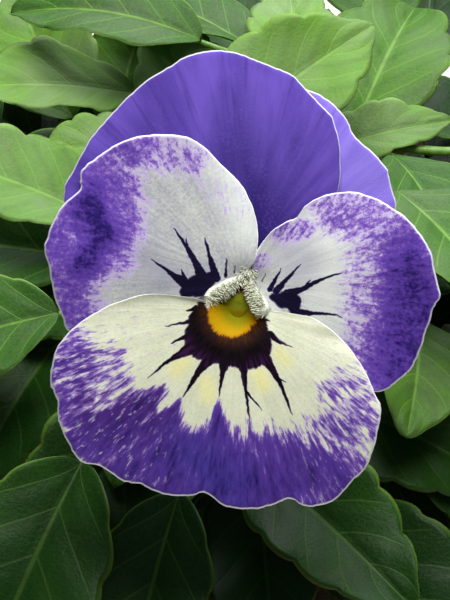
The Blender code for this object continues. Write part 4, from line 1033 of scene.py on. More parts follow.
def violet_petal(name, deep, middle, light):
    """An all-violet petal: deep at its foot, lighter at its rim, with fine dark veins.

    Painted shade darkens its folds, and broad streaks of painted light and shade lie across it.
    """
    foot = PETALS[name]["foot"]
    made, shader, point, flat, to_rim = petal_paint(name)
    wide = streaks(point, foot, 5.0, 16.0, 3.0)
    veins = streaks(point, foot, 26.0, 14.0, 4.0)
    # broad streaks of lighter and darker violet: painted light and shade of broad folds
    colour = mixed(ramp(wide, 0.34, 0.66), middle, light)
    # painted shade in the folds
    colour = mixed(times(brushed(flat, FOLD_SHADE), 0.85), colour, deep)
    near = vectors("DISTANCE", flat, (*foot, 0.0))
    colour = mixed(ramp(near, 3.0, 9.0, 0.75, 0.0), colour, deep)
    colour = mixed(ramp(veins, 0.5, 0.76, 0.0, 0.4), colour, deep)
    mottle = grain(point, 3.4, 0.4)
    colour = mixed(ramp(mottle["Mask"], 0.46, 0.7, 0.0, 0.3), colour, light)
    petal_close(shader, colour, point, foot, to_rim, 0.09)
    return made


SIDE_PAINT = (0.5, 26.0, INDIGO, INDIGO_LIGHT)
PETAL_FINISHES = {
    "petal_lower": marked_petal("petal_lower", CREAM, CREAM_SHADE, 0.85, 34.0, BLOTCH, BLOTCH_PURPLE),
    # the left side petal is painted in shade, darker than the right one
    "petal_side_left": marked_petal("petal_side_left", SHADED_WHITE, SHADED_GREY, *SIDE_PAINT),
    "petal_side_right": marked_petal("petal_side_right", WHITE, WHITE_SHADE, *SIDE_PAINT),
    "petal_upper_left": violet_petal(
        "petal_upper_left", tint(34, 20, 88), tint(74, 54, 140), tint(94, 72, 164)
    ),
    "petal_upper_right": violet_petal(
        "petal_upper_right", tint(78, 60, 148), tint(110, 90, 184), tint(130, 112, 202)
    ),
}
PETAL_SLOTS = {"lower": "petal_cream", "side": "petal_white", "upper": "petal_violet"}


def fleshy_finish(name, colour, second, roughness):
    """Soft plant flesh in two close colours, with a fine grain."""
    made, shader = finish(
        name, roughness, subsurface_weight=0.15, subsurface_scale=0.2 * MM,
        subsurface_radius=(1.0, 0.9, 0.8),
    )
    fine = grain(add("ShaderNodeTexCoord")["Object"], 2600.0, 0.6)
    set_inputs(shader, {"Base Color": mixed(ramp(fine["Mask"], 0.35, 0.65), colour, second)})
    bumped(shader, fine["Height"], 0.05)
    return made


pad_white = fleshy_finish("White Petal Pads", tint(200, 202, 190), tint(182, 186, 168), 0.7)
spur_violet = fleshy_finish("Violet Spur", tint(120, 96, 178), tint(150, 128, 190), 0.55)
for name, petal in PETALS.items():
    points, faces, painted = fine_petal(petal)
    tubes = []
    if name in CLAWS:
        x, y = CLAWS[name]
        start = petal_depth(petal, x, y, 0.1)
        end = RECEPTACLE_FRONT + SOIL_GAP
        path = [(x, y, start), (x, y, (start + end) / 2), (x, y, end)]
        tubes.append((in_row(path), [CLAW_RADIUS] * len(path)))
    if name in BEARDS:
        tubes.append((in_row(BEARDS[name]), BEARD_RADII))
    if name == "petal_lower":
        tubes.append((in_row(SPUR_PATH), SPUR_RADII))
    blade = blades_and_tubes("fine_" + name, [(in_row(points), faces, painted)], tubes, {
        "Sides": 20, "Steps": 7, "Unevenness": 0.1 * MM, "Blade Finish": PETAL_FINISHES[name],
        "Tube Finish": spur_violet if name == "petal_lower" else pad_white,
    }, "face")
    piece("fine_" + name, blade, PETAL_SLOTS[name.split("_")[1]], name)


# Beards: crowds of short white club-shaped hairs that grow from the padded inner edges of the two side
# petals and close the throat above the stigma.

HAIRS_PER_MM2 = 30.0
HAIR_LENGTHS = (0.55, 1.05)
HAIR_RADIUS = 0.05
HAIR_SPREAD = 0.45
HAIR_PULL = 0.9
HAIR_SIDE = -0.55
HAIRS_TOWARDS = (0.3, -0.6, -0.6)


def haired_tree():
    """Grows short hairs with a swollen tip from a surface, and leaves out the surface itself."""
    given = tree_of("Club Hairs", {
        "Geometry": "Geometry", "Density": 1.0e7, "Shortest": 0.0003, "Longest": 0.0006,
        "Radius": 0.00005, "Spread": 0.5, "Pull": 0.5, "Side": 0.0, "Throat": "Vector", "Seed": 0,
        "Finish": "Material",
    })
    inward = vectors("NORMALIZE", vectors("SUBTRACT", given["Throat"], geo("InputPosition")))
    near = maths("GREATER_THAN", vectors("DOT_PRODUCT", geo("InputNormal"), inward), given["Side"])
    spots = {
        "Mesh": given["Geometry"], "Selection": near, "Density": given["Density"], "Seed": given["Seed"],
    }
    spots = add("GeometryNodeDistributePointsOnFaces", spots)
    column = geo("MeshCylinder", {"Vertices": 5, "Side Segments": 4, "Radius": 1.0, "Depth": 1.0})
    parts = split(geo("InputPosition"))
    up = plus(parts[2], 0.5)
    swell = times(ramp(up, 0.45, 0.85, 0.62, 1.35), ramp(up, 0.86, 1.0, 1.0, 0.35))
    shaped = joined(times(parts[0], swell), times(parts[1], swell), minus(up, 0.1))
    hair = geo("SetPosition", {"Geometry": column, "Position": shaped})
    size = joined(given["Radius"], given["Radius"], drawn(given["Shortest"], given["Longest"], 2))
    lean = drawn((-1.0, -1.0, -1.0), (1.0, 1.0, 1.0), 4)
    growing = vectors("ADD", spots["Normal"], vectors("SCALE", lean, given["Spread"]))
    growing = vectors("ADD", growing, vectors("SCALE", inward, given["Pull"]))
    turn = add("FunctionNodeAlignRotationToVector", {"Vector": growing}, axis="Z")[0]
    hairs = {"Points": spots["Points"], "Instance": hair, "Rotation": turn, "Scale": size}
    return body_end(geo("InstanceOnPoints", hairs), given["Finish"])


HAIRED = haired_tree()
hair_white = fleshy_finish("White Club Hairs", tint(200, 203, 182), tint(182, 186, 160), 0.6)
for seed, (name, path) in enumerate(BEARDS.items()):
    pad = blades_and_tubes(name + "_pad", [], [(in_row(path), BEARD_RADII)], {
        "Sides": 14, "Steps": 5, "Unevenness": 0.0, "Tube Finish": hair_white,
    }, "face")
    hairs = grown(pad, HAIRED, {
        "Density": HAIRS_PER_MM2 / MM**2, "Radius": HAIR_RADIUS * MM, "Side": HAIR_SIDE,
        "Shortest": HAIR_LENGTHS[0] * MM, "Longest": HAIR_LENGTHS[1] * MM,
        "Spread": HAIR_SPREAD, "Pull": HAIR_PULL,
        "Throat": tuple(BLOOM @ Vector(HAIRS_TOWARDS) * MM), "Seed": seed, "Finish": hair_white,
    })
    piece(name.replace("petal_side", "beard"), hairs, "petal_white")


# Pistil: the olive-green knob of the stigma, pear-shaped, with a small hollow at its front and a yellow
# flap at each side. Its bent style comes forward out of the ovary.

KNOB_PATH = (
    (0.75, 1.9, -2.4), (0.6, 1.5, -2.5), (0.35, 0.8, -2.9), (0.22, 0.0, -3.3), (0.22, -0.8, -3.6),
    (0.28, -1.6, -3.9), (0.3, -2.3, -4.2), (0.3, -2.9, -4.3),
)
KNOB_RADII = (0.3, 0.8, 1.5, 1.85, 1.8, 1.6, 1.2, 0.5)
KNOB_HOLLOW_AT = (0.2, -0.15)
KNOB_HOLLOW = 0.34
KNOB_HOLLOW_DEPTH = 0.12
FLAP_PATH = (
    (-2.2, 0.1, -2.7), (-1.2, -0.3, -3.1), (0.25, -0.5, -3.4), (1.6, -0.5, -3.1), (2.5, -0.75, -2.6),
)
FLAP_RADII = (0.4, 0.7, 0.9, 0.7, 0.4)
STYLE_PATH = ((0.25, 0.45, -2.9), (0.55, 1.4, -3.4), (0.85, 2.2, -3.9))
STYLE_RADII = (0.5, 0.4, 0.35)


def stigma_finish():
    """Olive green with a yellow foot and sides, and reddish brown at its top, with a moist skin."""
    made, shader = finish(
        "Stigma Knob", 0.6, subsurface_weight=0.1, subsurface_scale=0.3 * MM,
        subsurface_radius=(1.0, 0.9, 0.2), specular_ior_level=0.1,
    )
    face = add("ShaderNodeAttribute", attribute_name="face")["Vector"]
    mask = grain(face, 0.9, 0.7)["Mask"]
    colour = mixed(ramp(mask, 0.35, 0.65), tint(82, 86, 5), tint(104, 108, 8))
    parts = split(face)
    shaken = times_plus(minus(mask, 0.5), 0.7, parts[1])
    place = vectors("SUBTRACT", joined(parts[0], shaken), (0.2, 0.3, 0.0))
    away = vectors("LENGTH", vectors("MULTIPLY", place, (1.0, 0.8, 0.0)))
    colour = mixed(ramp(away, 0.6, 1.25), colour, tint(140, 126, 6))
    colour = mixed(ramp(shaken, 0.8, 1.2, 0.0, 0.95), colour, tint(58, 28, 8))
    set_inputs(shader, {"Base Color": colour})
    bumped(shader, mask, 0.05)
    return made


olive = stigma_finish()
pistil_tubes = ((KNOB_PATH, KNOB_RADII), (FLAP_PATH, FLAP_RADII), (STYLE_PATH, STYLE_RADII))
pistil_tubes = [(in_row(path), radii) for path, radii in pistil_tubes]
pistil_settings = {"Sides": 40, "Steps": 10, "Unevenness": 0.0, "Tube Finish": olive}
pistil = blades_and_tubes("pistil", [], pistil_tubes, pistil_settings, "face")
from_row = BLOOM.inverted()
pressed_in = BLOOM.to_3x3() @ Vector((0.0, 0.0, -1.0))
for vertex, mark in zip(pistil.vertices, pistil.attributes["face"].data):
    seen = from_row @ (vertex.co / MM)
    if seen.z > KNOB_PATH[3][2]:
        away = (Vector(seen[:2]) - Vector(KNOB_HOLLOW_AT)).length
        vertex.co += pressed_in * KNOB_HOLLOW_DEPTH * MM * math.exp(-((away / KNOB_HOLLOW) ** 2))
    mark.vector = seen
piece("stigma_and_style", pistil, "pistil_green", "pistil")


# Stamens: five anthers pressed together into a cone round the ovary, with orange skins at their tips.

ANTHERS = 5
ANTHER_CONE_AT = (0.9, 2.5)
ANTHER_LINE = ((-5.7, 0.55), (-5.3, 0.62), (-4.8, 0.52), (-4.35, 0.26))
ANTHER_RADII = (0.26, 0.4, 0.38, 0.2)

anthers = []
for index in range(ANTHERS):
    turn = math.tau * index / ANTHERS
    path = []
    for depth, reach in ANTHER_LINE:
        x, y = ANTHER_CONE_AT
        path.append(BLOOM @ Vector((x + reach * math.cos(turn), y + reach * math.sin(turn), depth)))
    anthers.append((path, ANTHER_RADII))
orange = fleshy_finish("Orange Anthers", tint(226, 142, 34), tint(240, 190, 96), 0.6)
anther_settings = {"Sides": 16, "Steps": 6, "Unevenness": 0.05 * MM, "Tube Finish": orange}
anther_cone = blades_and_tubes("anther_cone", [], anthers, anther_settings, "face")
piece("anther_cone", anther_cone, "anther_orange", "stamens")


# Leafy stems: twelve soft green stems that rise from the soil, and the places of their leaves. Each leaf
# takes the first posture that keeps it clear of the bloom, the pot and the leaves before it.

GOLDEN_ANGLE = math.radians(137.508)
STEMS = 12
STEM_RADIUS = 1.35
STEM_TIP_RADIUS = 0.85
STEM_SIDES = 6
STEM_ROOT_DEPTH = 9.0
ROOT_REACH = 22.0
TIP_REACH_LOW = 6.0
TIP_REACH_HIGH = 38.0
TIP_HEIGHT_HIGH = 34.0
TIP_HEIGHT_LOW = 18.0
FLOWERING_ROOT_REACH = 8.0
FLOWERING_TIP_REACH = 20.0
LEAVES = 84
FILLERS = 300
FILLER_TRIES = 60
FILLER_SIZE = 0.95
FILLER_SHRINK = 0.5
FILLER_LAYERS = (0.8, 1.02)
LOW_LEAVES = 40
LOW_LAYERS = (0.6, 0.8)
LEAF_SEED = 17
LEAF_TRIES = 240
LEAF_SHRINK = 0.4
LEAF_GAP = 0.35
DOME_RADIUS = 59.0
DOME_HEIGHT = 48.0
DOME_BACK = 4.0
DOME_SHOULDER = 0.7
DOME_LOWEST = math.radians(74)
DOME_LAYERS = (1.0, 0.89, 0.8)
LEAF_GROWTH = (0.25, 1.1)
LEAF_FACING = (0.25, 0.5)
LEAF_LENGTH_TOP = 23.0
LEAF_LENGTH_LOW = 32.0
LEAF_WIDTH_SHARE = 0.58
LEAF_THICKNESS = 0.62
LEAF_TEETH = 4
LEAF_TOOTH_DEPTH = 0.10
LEAF_FOLD = math.radians(15)
LEAF_TURN_DRAW = 0.16
LEAF_LAYER_DRAW = (-0.05, 0.03)
LEAF_LENGTH_DRAW = (0.85, 1.12)
LEAF_WIDTH_DRAW = (0.82, 1.1)
LEAF_HEADING_DRAW = 0.6
LEAF_RISE_TOP = 24.0
LEAF_RISE_LOSS = 40.0
LEAF_TILT_DRAW = 0.22
LEAF_DROOP_DRAW = (0.35, 0.95)
LEAF_WAVE = 0.09
LEAF_WAVES = 4.5
PETIOLE_RADIUS = 0.55
PETIOLE_SIDES = 4
PETIOLE_TAPER = (1.15, 1.0, 0.95, 0.7)
PETIOLE_IN_BLADE = 0.08
PETIOLE_LONGEST = 36.0
PETIOLE_ARCH = 0.4
PETIOLE_LEAD = 0.3
PETIOLE_LIFT_DRAW = (4, 11)
PETIOLE_LIFT_WEIGHT = 1.5
STEM_CHOICE = (0, 0, 1, 2, 4, 6)
RIM_ROOM_INSIDE = 9.0
RIM_ROOM_OUTSIDE = 2.5
RIM_ROOM_ABOVE = 2.0
SOIL_ROOM = 1.5
OVERHANG = 20.0
COVER_ABOVE = 25.0
COVER_REACH = 60.0
GAP_SPOTS = (
    (-17.0, 13.0, 130.0), (24.5, -7.0, 99.0), (26.0, 4.0, 89.0),
    (-23.0, -51.5, 105.0), (-10.0, -51.0, 102.0), (10.0, -51.0, 102.0),
)
GAP_SEED = 1
GAP_TRIES = 500
GAP_ROUTES = 25
GAP_DRAW = 2.5
GAP_SHRINK = 0.5
GAP_ARCH_DRAW = (-0.3, 0.6)
GAP_LEAD_DRAW = (0.1, 0.6)
VIEW_BEHIND = -9.0
VIEW_HALF_WIDTH = 26.0
VIEW_LOW = -27.0
VIEW_HIGH = 32.0
RECEPTACLE_AT = (1.0, 2.9)
RECEPTACLE_RADIUS = 2.25
RECEPTACLE_DEPTH = 2.6
SEPAL_ANGLES = (92, 28, 156, 212, 322)
SEPAL_LENGTH = 9.5
SEPAL_WIDTH = 2.7
SEPAL_THICKNESS = 0.7
SEPAL_DEPTH = -7.2
SEPAL_LEAN = -0.14
SEPAL_SHARES = ((0.08, 0.55), (0.25, 0.85), (0.5, 1.0), (0.78, 0.62), (1.0, 0.16))
EAR_LENGTH = 2.6
EAR_SPREAD = 0.9
EAR_INSET = 0.2
EAR_WIDTHS = (1.3, 1.6, 0.9)
EAR_THICKNESS = 0.6
STALK_RADIUS = 0.85
STALK_PULL = 14.0
STALK_CROOK = ((1.0, 3.0, -7.6), (1.0, 3.6, -10.2), (1.1, 3.3, -12.6), (1.2, 1.9, -14.8))
BRACT_LENGTH = 4.5
BRACT_SHARE = 0.5
BRACT_WIDTHS = (0.9, 1.1, 0.4)
BRACT_THICKNESS = 0.6
STEM_ROOT_RISE = 1.5


def across(direction, hint):
    """The unit vector nearest to the hint that is square to the direction."""
    square = hint - direction * hint.dot(direction)
    return square.normalized()


def level(turn):
    """The level direction at that angle."""
    return Vector((math.cos(turn), math.sin(turn), 0))


def headings(path):
    """Each point of a path, and the way from the point before it to the one after it."""
    path = [Vector(p) for p in path]
    for index, centre in enumerate(path):
        yield centre, path[min(index + 1, len(path) - 1)] - path[max(index - 1, 0)]


def skin(rings):
    """The points and faces of a closed body that runs through those rings of points."""
    sides = len(rings[0])
    points = [point for ring in rings for point in ring]
    faces = [tuple(range(sides)), tuple(range(len(points) - sides, len(points)))]
    for low in range(0, len(points) - sides, sides):
        for step in range(sides):
            after = (step + 1) % sides
            faces.append((low + step, low + after, low + sides + after, low + sides + step))
    return points, faces


def tube(path, radii, sides):
    """A plain tube through the points, with a radius at each and flat ends."""
    rings = []
    side = Vector((1.0, 0.13, 0.07))
    for (centre, heading), radius in zip(headings(path), radii):
        along = heading.normalized()
        side = across(along, side)
        up = along.cross(side)
        turns = [math.tau * step / sides for step in range(sides)]
        rings.append([centre + (side * math.cos(turn) + up * math.sin(turn)) * radius for turn in turns])
    return skin(rings)


def bezier(a, b, c, d, count):
    """Points along a cubic curve."""
    found = []
    for index in range(count + 1):
        t = index / count
        s = 1 - t
        found.append(a * s**3 + b * 3 * s * s * t + c * 3 * s * t * t + d * t**3)
    return found


def plain_petal(petal):
    """The petal's solid, which the leaves keep clear of: its rays, front and back, without fine detail."""
    foot, rim = petal["foot"], petal["outline"]
    count, rings = len(rim), len(PETAL_RINGS) + 1
    points, faces = [], []
    for side in (PETAL_THICKNESS / 2, -PETAL_THICKNESS / 2):
        for reach in (0.0, *PETAL_RINGS):
            for spot in rim:
                x, y = (start + (end - start) * reach for start, end in zip(foot, spot))
                points.append(seen_at(x, y, petal_depth(petal, x, y, reach) + side))
    front = [[ring * count + ray for ray in range(count)] for ring in range(rings)]
    back = [[rings * count + corner for corner in row] for row in front]
    rows = front + back[::-1]
    for low, high in zip(rows, rows[1:]):
        for ray in range(count - 1):
            faces.append((low[ray], high[ray], high[ray + 1], low[ray + 1]))
    for ray in (0, count - 1):
        for ring in range(rings - 1):
            faces.append((front[ring][ray], front[ring + 1][ray], back[ring + 1][ray], back[ring][ray]))
    return points, faces


def petal_solids():
    """The five petals as the leaves keep clear of them."""
    for petal in PETALS.values():
        points, faces = plain_petal(petal)
        yield in_row(points), faces


def strip(path, widths, normal, thickness):
    """A narrow plain strip along a path."""
    rings = []
    lift = Vector(normal).normalized() * thickness / 2
    for (centre, heading), width in zip(headings(path), widths):
        side = heading.cross(Vector(normal)).normalized() * width / 2
        left, right = centre - side, centre + side
        rings.append([left - lift, right - lift, right + lift, left + lift])
    return skin(rings)


def sepal_lines():
    """Midline, widths, facing and thickness of each sepal and of its ear, in the bloom's frame."""
    x, y = RECEPTACLE_AT
    for angle in SEPAL_ANGLES:
        out = level(math.radians(angle))
        path = []
        for share, _ in SEPAL_SHARES:
            reach = share * SEPAL_LENGTH
            path.append(Vector((x, y, SEPAL_DEPTH + SEPAL_LEAN * reach)) + out * reach)
        widths = [SEPAL_WIDTH * share for _, share in SEPAL_SHARES]
        yield path, widths, Vector((0, 0, 1)), SEPAL_THICKNESS
        ear_from = Vector((x, y, SEPAL_DEPTH - EAR_INSET)) + out * (RECEPTACLE_RADIUS - EAR_INSET)
        ear_to = ear_from + out * EAR_SPREAD + Vector((0, 0, -EAR_LENGTH))
        yield [ear_from, (ear_from + ear_to) / 2, ear_to], EAR_WIDTHS, out, EAR_THICKNESS


def stem_path(index):
    """Points along a leafy stem, from its root in the soil to its tip."""
    share = (index + 0.5) / STEMS
    out = level(index * GOLDEN_ANGLE - math.pi / 2)
    foot = ROOT_REACH * math.sqrt(share)
    reach = TIP_REACH_LOW + (TIP_REACH_HIGH - TIP_REACH_LOW) * math.sqrt(share)
    if index == 0:
        foot, reach = FLOWERING_ROOT_REACH, FLOWERING_TIP_REACH
    soil = out * foot + Vector((0, 0, SOIL_TOP + STEM_ROOT_RISE))
    height = TIP_HEIGHT_HIGH + (TIP_HEIGHT_LOW - TIP_HEIGHT_HIGH) * share
    tip = out * reach + Vector((0, 0, SOIL_TOP + height))
    bend = soil + Vector((0, 0, height * 0.5))
    curve = bezier(soil, bend, tip - (tip - bend) * 0.35, tip, 4)
    return [soil - Vector((0, 0, STEM_ROOT_DEPTH))] + curve


def stem_radii(path):
    """The radius of a stem at each point of its path."""
    last = len(path) - 1
    return [STEM_RADIUS + (STEM_TIP_RADIUS - STEM_RADIUS) * row / last for row in range(last + 1)]


def stalk_path():
    """The flower stalk, from inside the receptacle to the tip of its stem."""
    crook = in_row(STALK_CROOK)
    foot = stem_path(0)[-2]
    fall = (crook[-1] - crook[-2]).normalized() * STALK_PULL * 0.6
    rest = bezier(crook[-1], crook[-1] + fall, foot + Vector((0, 0, STALK_PULL)), foot, 6)
    return crook[:-1] + rest


def bract_lines():
    """Midline, widths, facing and thickness of the two bracts on the stalk."""
    path = stalk_path()
    middle = path[int(len(path) * BRACT_SHARE)]
    for side in (-1, 1):
        out = Vector((side * 0.6, 0.1, 0.9)).normalized()
        bract = [middle, middle + out * BRACT_LENGTH * 0.5, middle + out * BRACT_LENGTH]
        yield bract, BRACT_WIDTHS, Vector((0, 1, 0.1)), BRACT_THICKNESS


def bloom_green_solids():
    """Receptacle, sepals, stalk and bracts as the leaves keep clear of them."""
    x, y = RECEPTACLE_AT
    back = RECEPTACLE_FRONT - RECEPTACLE_DEPTH
    cup = [(x, y, back), (x, y, (back + RECEPTACLE_FRONT) / 2), (x, y, RECEPTACLE_FRONT)]
    shapes = [tube(cup, [RECEPTACLE_RADIUS * 0.75, RECEPTACLE_RADIUS, RECEPTACLE_RADIUS], 10)]
    shapes += [strip(*line) for line in sepal_lines()]
    for points, faces in shapes:
        yield in_row(points), faces
    path = stalk_path()
    yield tube(path, [STALK_RADIUS] * len(path), STEM_SIDES)
    for line in bract_lines():
        yield strip(*line)


def dome_point(share, turn, layer):
    """A point of the dome: share is 0 at its top and 1 at its foot, and layer scales it inwards."""
    down = math.acos(1 - share * (1 - math.cos(DOME_LOWEST)))
    reach = DOME_RADIUS * layer * math.sin(down)
    height = SOIL_TOP + DOME_HEIGHT * layer * math.cos(down) ** DOME_SHOULDER
    return Vector((reach * math.cos(turn), reach * math.sin(turn) + DOME_BACK, height))


class Leaf:
    """One leaf: its stem, the foot and frame of its blade, its size and its petiole."""

    def __init__(self, share, turn, layer, draw, shrink):
        """Draws a posture for a leaf at that share of the way down the dome and that turn round it."""
        turn += draw.uniform(-LEAF_TURN_DRAW, LEAF_TURN_DRAW)
        centre = dome_point(share, turn, layer + draw.uniform(*LEAF_LAYER_DRAW))
        out = level(turn)
        growth = min(1.0, LEAF_GROWTH[0] + LEAF_GROWTH[1] * share)
        self.length = LEAF_LENGTH_TOP + (LEAF_LENGTH_LOW - LEAF_LENGTH_TOP) * growth
        self.length *= draw.uniform(*LEAF_LENGTH_DRAW) * shrink
        self.half_width = self.length * LEAF_WIDTH_SHARE / 2 * draw.uniform(*LEAF_WIDTH_DRAW)
        heading = turn + draw.uniform(-LEAF_HEADING_DRAW, LEAF_HEADING_DRAW) * (1.6 - share)
        rise = math.radians(LEAF_RISE_TOP - LEAF_RISE_LOSS * share)
        rise += draw.uniform(-LEAF_TILT_DRAW, LEAF_TILT_DRAW)
        self.along = level(heading) * math.cos(rise) + Vector((0, 0, math.sin(rise)))
        face = Vector((0, 0, 1)) + out * (LEAF_FACING[0] + LEAF_FACING[1] * share)
        face += Vector([draw.uniform(-LEAF_TILT_DRAW, LEAF_TILT_DRAW) for _ in range(3)])
        self.normal = across(self.along, face)
        self.side = self.along.cross(self.normal)
        self.droop = draw.uniform(*LEAF_DROOP_DRAW)
        self.wave = draw.uniform(0, math.tau)
        self.arch, self.lead = PETIOLE_ARCH, PETIOLE_LEAD
        self.foot = centre - self.along * self.length * 0.5
        self.stem, self.joint = nearest_stem(self.foot, draw)

    def move_to(self, centre):
        """Moves the blade, so that its middle is at that point."""
        self.foot = centre - self.along * self.length * 0.5

    def reroute(self, draw):
        """Draws another way for the petiole."""
        self.stem, self.joint = nearest_stem(self.foot, draw)
        self.arch, self.lead = draw.uniform(*GAP_ARCH_DRAW), draw.uniform(*GAP_LEAD_DRAW)

    def spine(self, t):
        """A spot of the midrib and the blade's normal there, with t from 0 at the foot to 1 at the tip."""
        bend = self.droop * t
        radius = self.length / self.droop
        point = self.foot + self.along * radius * math.sin(bend)
        point = point - self.normal * radius * (1 - math.cos(bend))
        return point, self.normal * math.cos(bend) + self.along * math.sin(bend)

    def at(self, t, across_share, toothing=1.0):
        """A point of the blade's middle surface. across_share is 0 on the midrib and 1 at the edge."""
        centre, normal = self.spine(t)
        width = self.half_width * math.sin(math.pi * t**0.85) ** 0.75 * toothing
        offset = across_share * width
        lift = abs(offset) * math.sin(LEAF_FOLD)
        ripple = math.sin(LEAF_WAVES * math.pi * t + self.wave)
        lift += LEAF_WAVE * self.half_width * across_share**2 * ripple
        return centre + self.side * offset * math.cos(LEAF_FOLD) + normal * lift, normal

    def blade(self, thickness):
        """The blade as a closed plate, with a few wide teeth, for finding room."""
        steps = LEAF_TEETH * 2
        spine_steps = 4
        points, faces = [], []
        half = thickness / 2
        for side in (half, -half):
            for row in range(spine_steps + 1):
                t = min(max(row / spine_steps, 0.02), 0.985)
                centre, normal = self.spine(t)
                points.append(centre + normal * side)
            for hand in (-1, 1):
                for step in range(1, steps):
                    tooth = 1 + LEAF_TOOTH_DEPTH * (0.5 if step % 2 else -0.5)
                    point, normal = self.at(step / steps, hand, tooth)
                    points.append(point + normal * side)
        per_hand = steps - 1
        back = spine_steps + 1 + 2 * per_hand
        for hand in (0, 1):
            edge = [0] + [spine_steps + 1 + hand * per_hand + step for step in range(per_hand)]
            edge.append(spine_steps)
            for corners in strip_triangles(list(range(spine_steps + 1)), edge):
                forward = tuple(reversed(corners)) if hand else corners
                faces.append(forward)
                faces.append(tuple(back + corner for corner in reversed(forward)))
            for low, high in zip(edge, edge[1:]):
                wall = (low, high, back + high, back + low)
                faces.append(wall if not hand else tuple(reversed(wall)))
        return points, faces

    def petiole(self, radius):
        """The petiole as a plain tube, for finding room."""
        return tube(*self.petiole_line(radius), PETIOLE_SIDES)

    def petiole_line(self, radius):
        """The leaf's stalk, from inside its stem to under the foot of its blade."""
        start = self.spine(PETIOLE_IN_BLADE)[0]
        reach = (start - self.joint).length
        rise = Vector((0, 0, reach * self.arch))
        path = bezier(self.joint, self.joint + rise, start - self.along * reach * self.lead, start, 3)
        return path, [radius * share for share in PETIOLE_TAPER]


def nearest_stem(foot, draw):
    """One of the few stems that could carry a leaf with this foot, and where its petiole starts."""
    lift = draw.uniform(*PETIOLE_LIFT_DRAW)
    found = []
    for index in range(STEMS):
        path = STEM_PATHS[index]
        for row in range(2, len(path)):
            for share in (0.0, 0.5):
                point = path[row].lerp(path[row - 1], share)
                gap = foot - point
                found.append((gap.length + PETIOLE_LIFT_WEIGHT * abs(gap.z - lift), index, point))
    found.sort(key=lambda entry: entry[0])
    _, index, point = found[draw.choice(STEM_CHOICE)]
    return index, point


def strip_triangles(spine, edge):
    """Triangles between two rows of points that share their first and last."""
    found = []
    low, high = 0, 0
    while low < len(spine) - 1 or high < len(edge) - 1:
        spine_share = (low + 0.5) / (len(spine) - 1)
        edge_share = (high + 0.5) / (len(edge) - 1)
        if high == len(edge) - 1 or (low < len(spine) - 1 and spine_share < edge_share):
            corners = (spine[low], spine[low + 1], edge[high])
            low += 1
        else:
            corners = (spine[low], edge[high + 1], edge[high])
            high += 1
        if len(set(corners)) == 3:
            found.append(corners)
    return found


class Standing:
    """A shape that stands already: its search tree, and the ball that holds it."""

    def __init__(self, shape):
        """Takes the shape as its points and faces."""
        points, faces = shape
        points = [Vector(p) for p in points]
        self.centre = sum(points, Vector()) / len(points)
        self.reach = max((p - self.centre).length for p in points)
        self.tree = BVHTree.FromPolygons(points, faces)

    def meets(self, other):
        """True if the two shapes cross."""
        near = (self.centre - other.centre).length < self.reach + other.reach
        return near and bool(self.tree.overlap(other.tree))


def clear_of_pot_and_view(points):
    """True if no point is in the pot, its rim or the soil, or hides the bloom from the viewer."""
    place = BLOOM.inverted()
    for point in points:
        reach = math.hypot(point.x, point.y)
        lowest = POT_HEIGHT + RIM_ROOM_ABOVE
        if reach < POT_RIM_RADIUS - RIM_ROOM_INSIDE:
            lowest = SOIL_TOP + SOIL_CROWN + SOIL_ROOM
        elif reach >= POT_RIM_RADIUS + RIM_ROOM_OUTSIDE:
            lowest = POT_HEIGHT - OVERHANG
        if point.z < lowest:
            return False
        seen = place @ point
        if seen.z > VIEW_BEHIND and abs(seen.x) < VIEW_HALF_WIDTH and VIEW_LOW < seen.y < VIEW_HIGH:
            return False
    return True


class Mound:
    """The leaves that have found a place, and what stands in their way."""

    def __init__(self):
        """Starts with the bloom and the bare stems."""
        self.bloom = [Standing(shape) for shape in [*petal_solids(), *bloom_green_solids()]]
        self.stems = [Standing(tube(path, stem_radii(path), STEM_SIDES)) for path in STEM_PATHS]
        self.leaves, self.blades, self.petioles = [], [], []

    def clear(self, shape, stems):
        """True if the shape meets none of those stems, nothing that has grown, no pot and no view."""
        if not clear_of_pot_and_view(shape[0]):
            return False
        standing = Standing(shape)
        return not any(standing.meets(other) for other in self.bloom + stems + self.blades + self.petioles)

    def has_room(self, leaf):
        """True if the leaf's blade is clear of all else."""
        return self.clear(leaf.blade(LEAF_THICKNESS + 2 * LEAF_GAP), self.stems)

    def takes(self, leaf):
        """Adds the leaf if it is clear of all else, and says whether it did."""
        if (leaf.foot - leaf.joint).length > PETIOLE_LONGEST or not self.has_room(leaf):
            return False
        others = self.stems[:leaf.stem] + self.stems[leaf.stem + 1:]
        if not self.clear(leaf.petiole(PETIOLE_RADIUS + LEAF_GAP), others):
            return False
        self.leaves.append(leaf)
        self.blades.append(Standing(leaf.blade(LEAF_THICKNESS)))
        self.petioles.append(Standing(leaf.petiole(PETIOLE_RADIUS)))
        return True

    def covers(self, point):
        """True if a leaf lies over the dome's middle as seen from outside that point."""
        inward = (Vector((0, DOME_BACK, SOIL_TOP)) - point).normalized()
        start = point - inward * COVER_ABOVE
        return any(blade.tree.ray_cast(start, inward, COVER_REACH)[0] for blade in self.blades)

    def fill(self, share, turn, layers, draw):
        """Tries ever smaller leaves at one spot of the dome until one finds room."""
        for attempt in range(FILLER_TRIES):
            size = FILLER_SIZE - FILLER_SHRINK * attempt / FILLER_TRIES
            if self.takes(Leaf(share, turn, draw.uniform(*layers), draw, size)):
                return

    def close_gap(self, spot, draw):
        """Tries ever smaller leaves round that point, and several ways for the petiole of each."""
        for attempt in range(GAP_TRIES):
            size = 1 - GAP_SHRINK * attempt / GAP_TRIES
            centre = Vector([value + draw.uniform(-GAP_DRAW, GAP_DRAW) for value in spot])
            turn = math.atan2(centre.y - DOME_BACK, centre.x)
            share = min(1.0, math.hypot(centre.y - DOME_BACK, centre.x) / DOME_RADIUS)
            leaf = Leaf(share, turn, 1.0, draw, size)
            leaf.move_to(centre)
            if not self.has_room(leaf):
                continue
            for _ in range(GAP_ROUTES):
                leaf.reroute(draw)
                if self.takes(leaf):
                    return


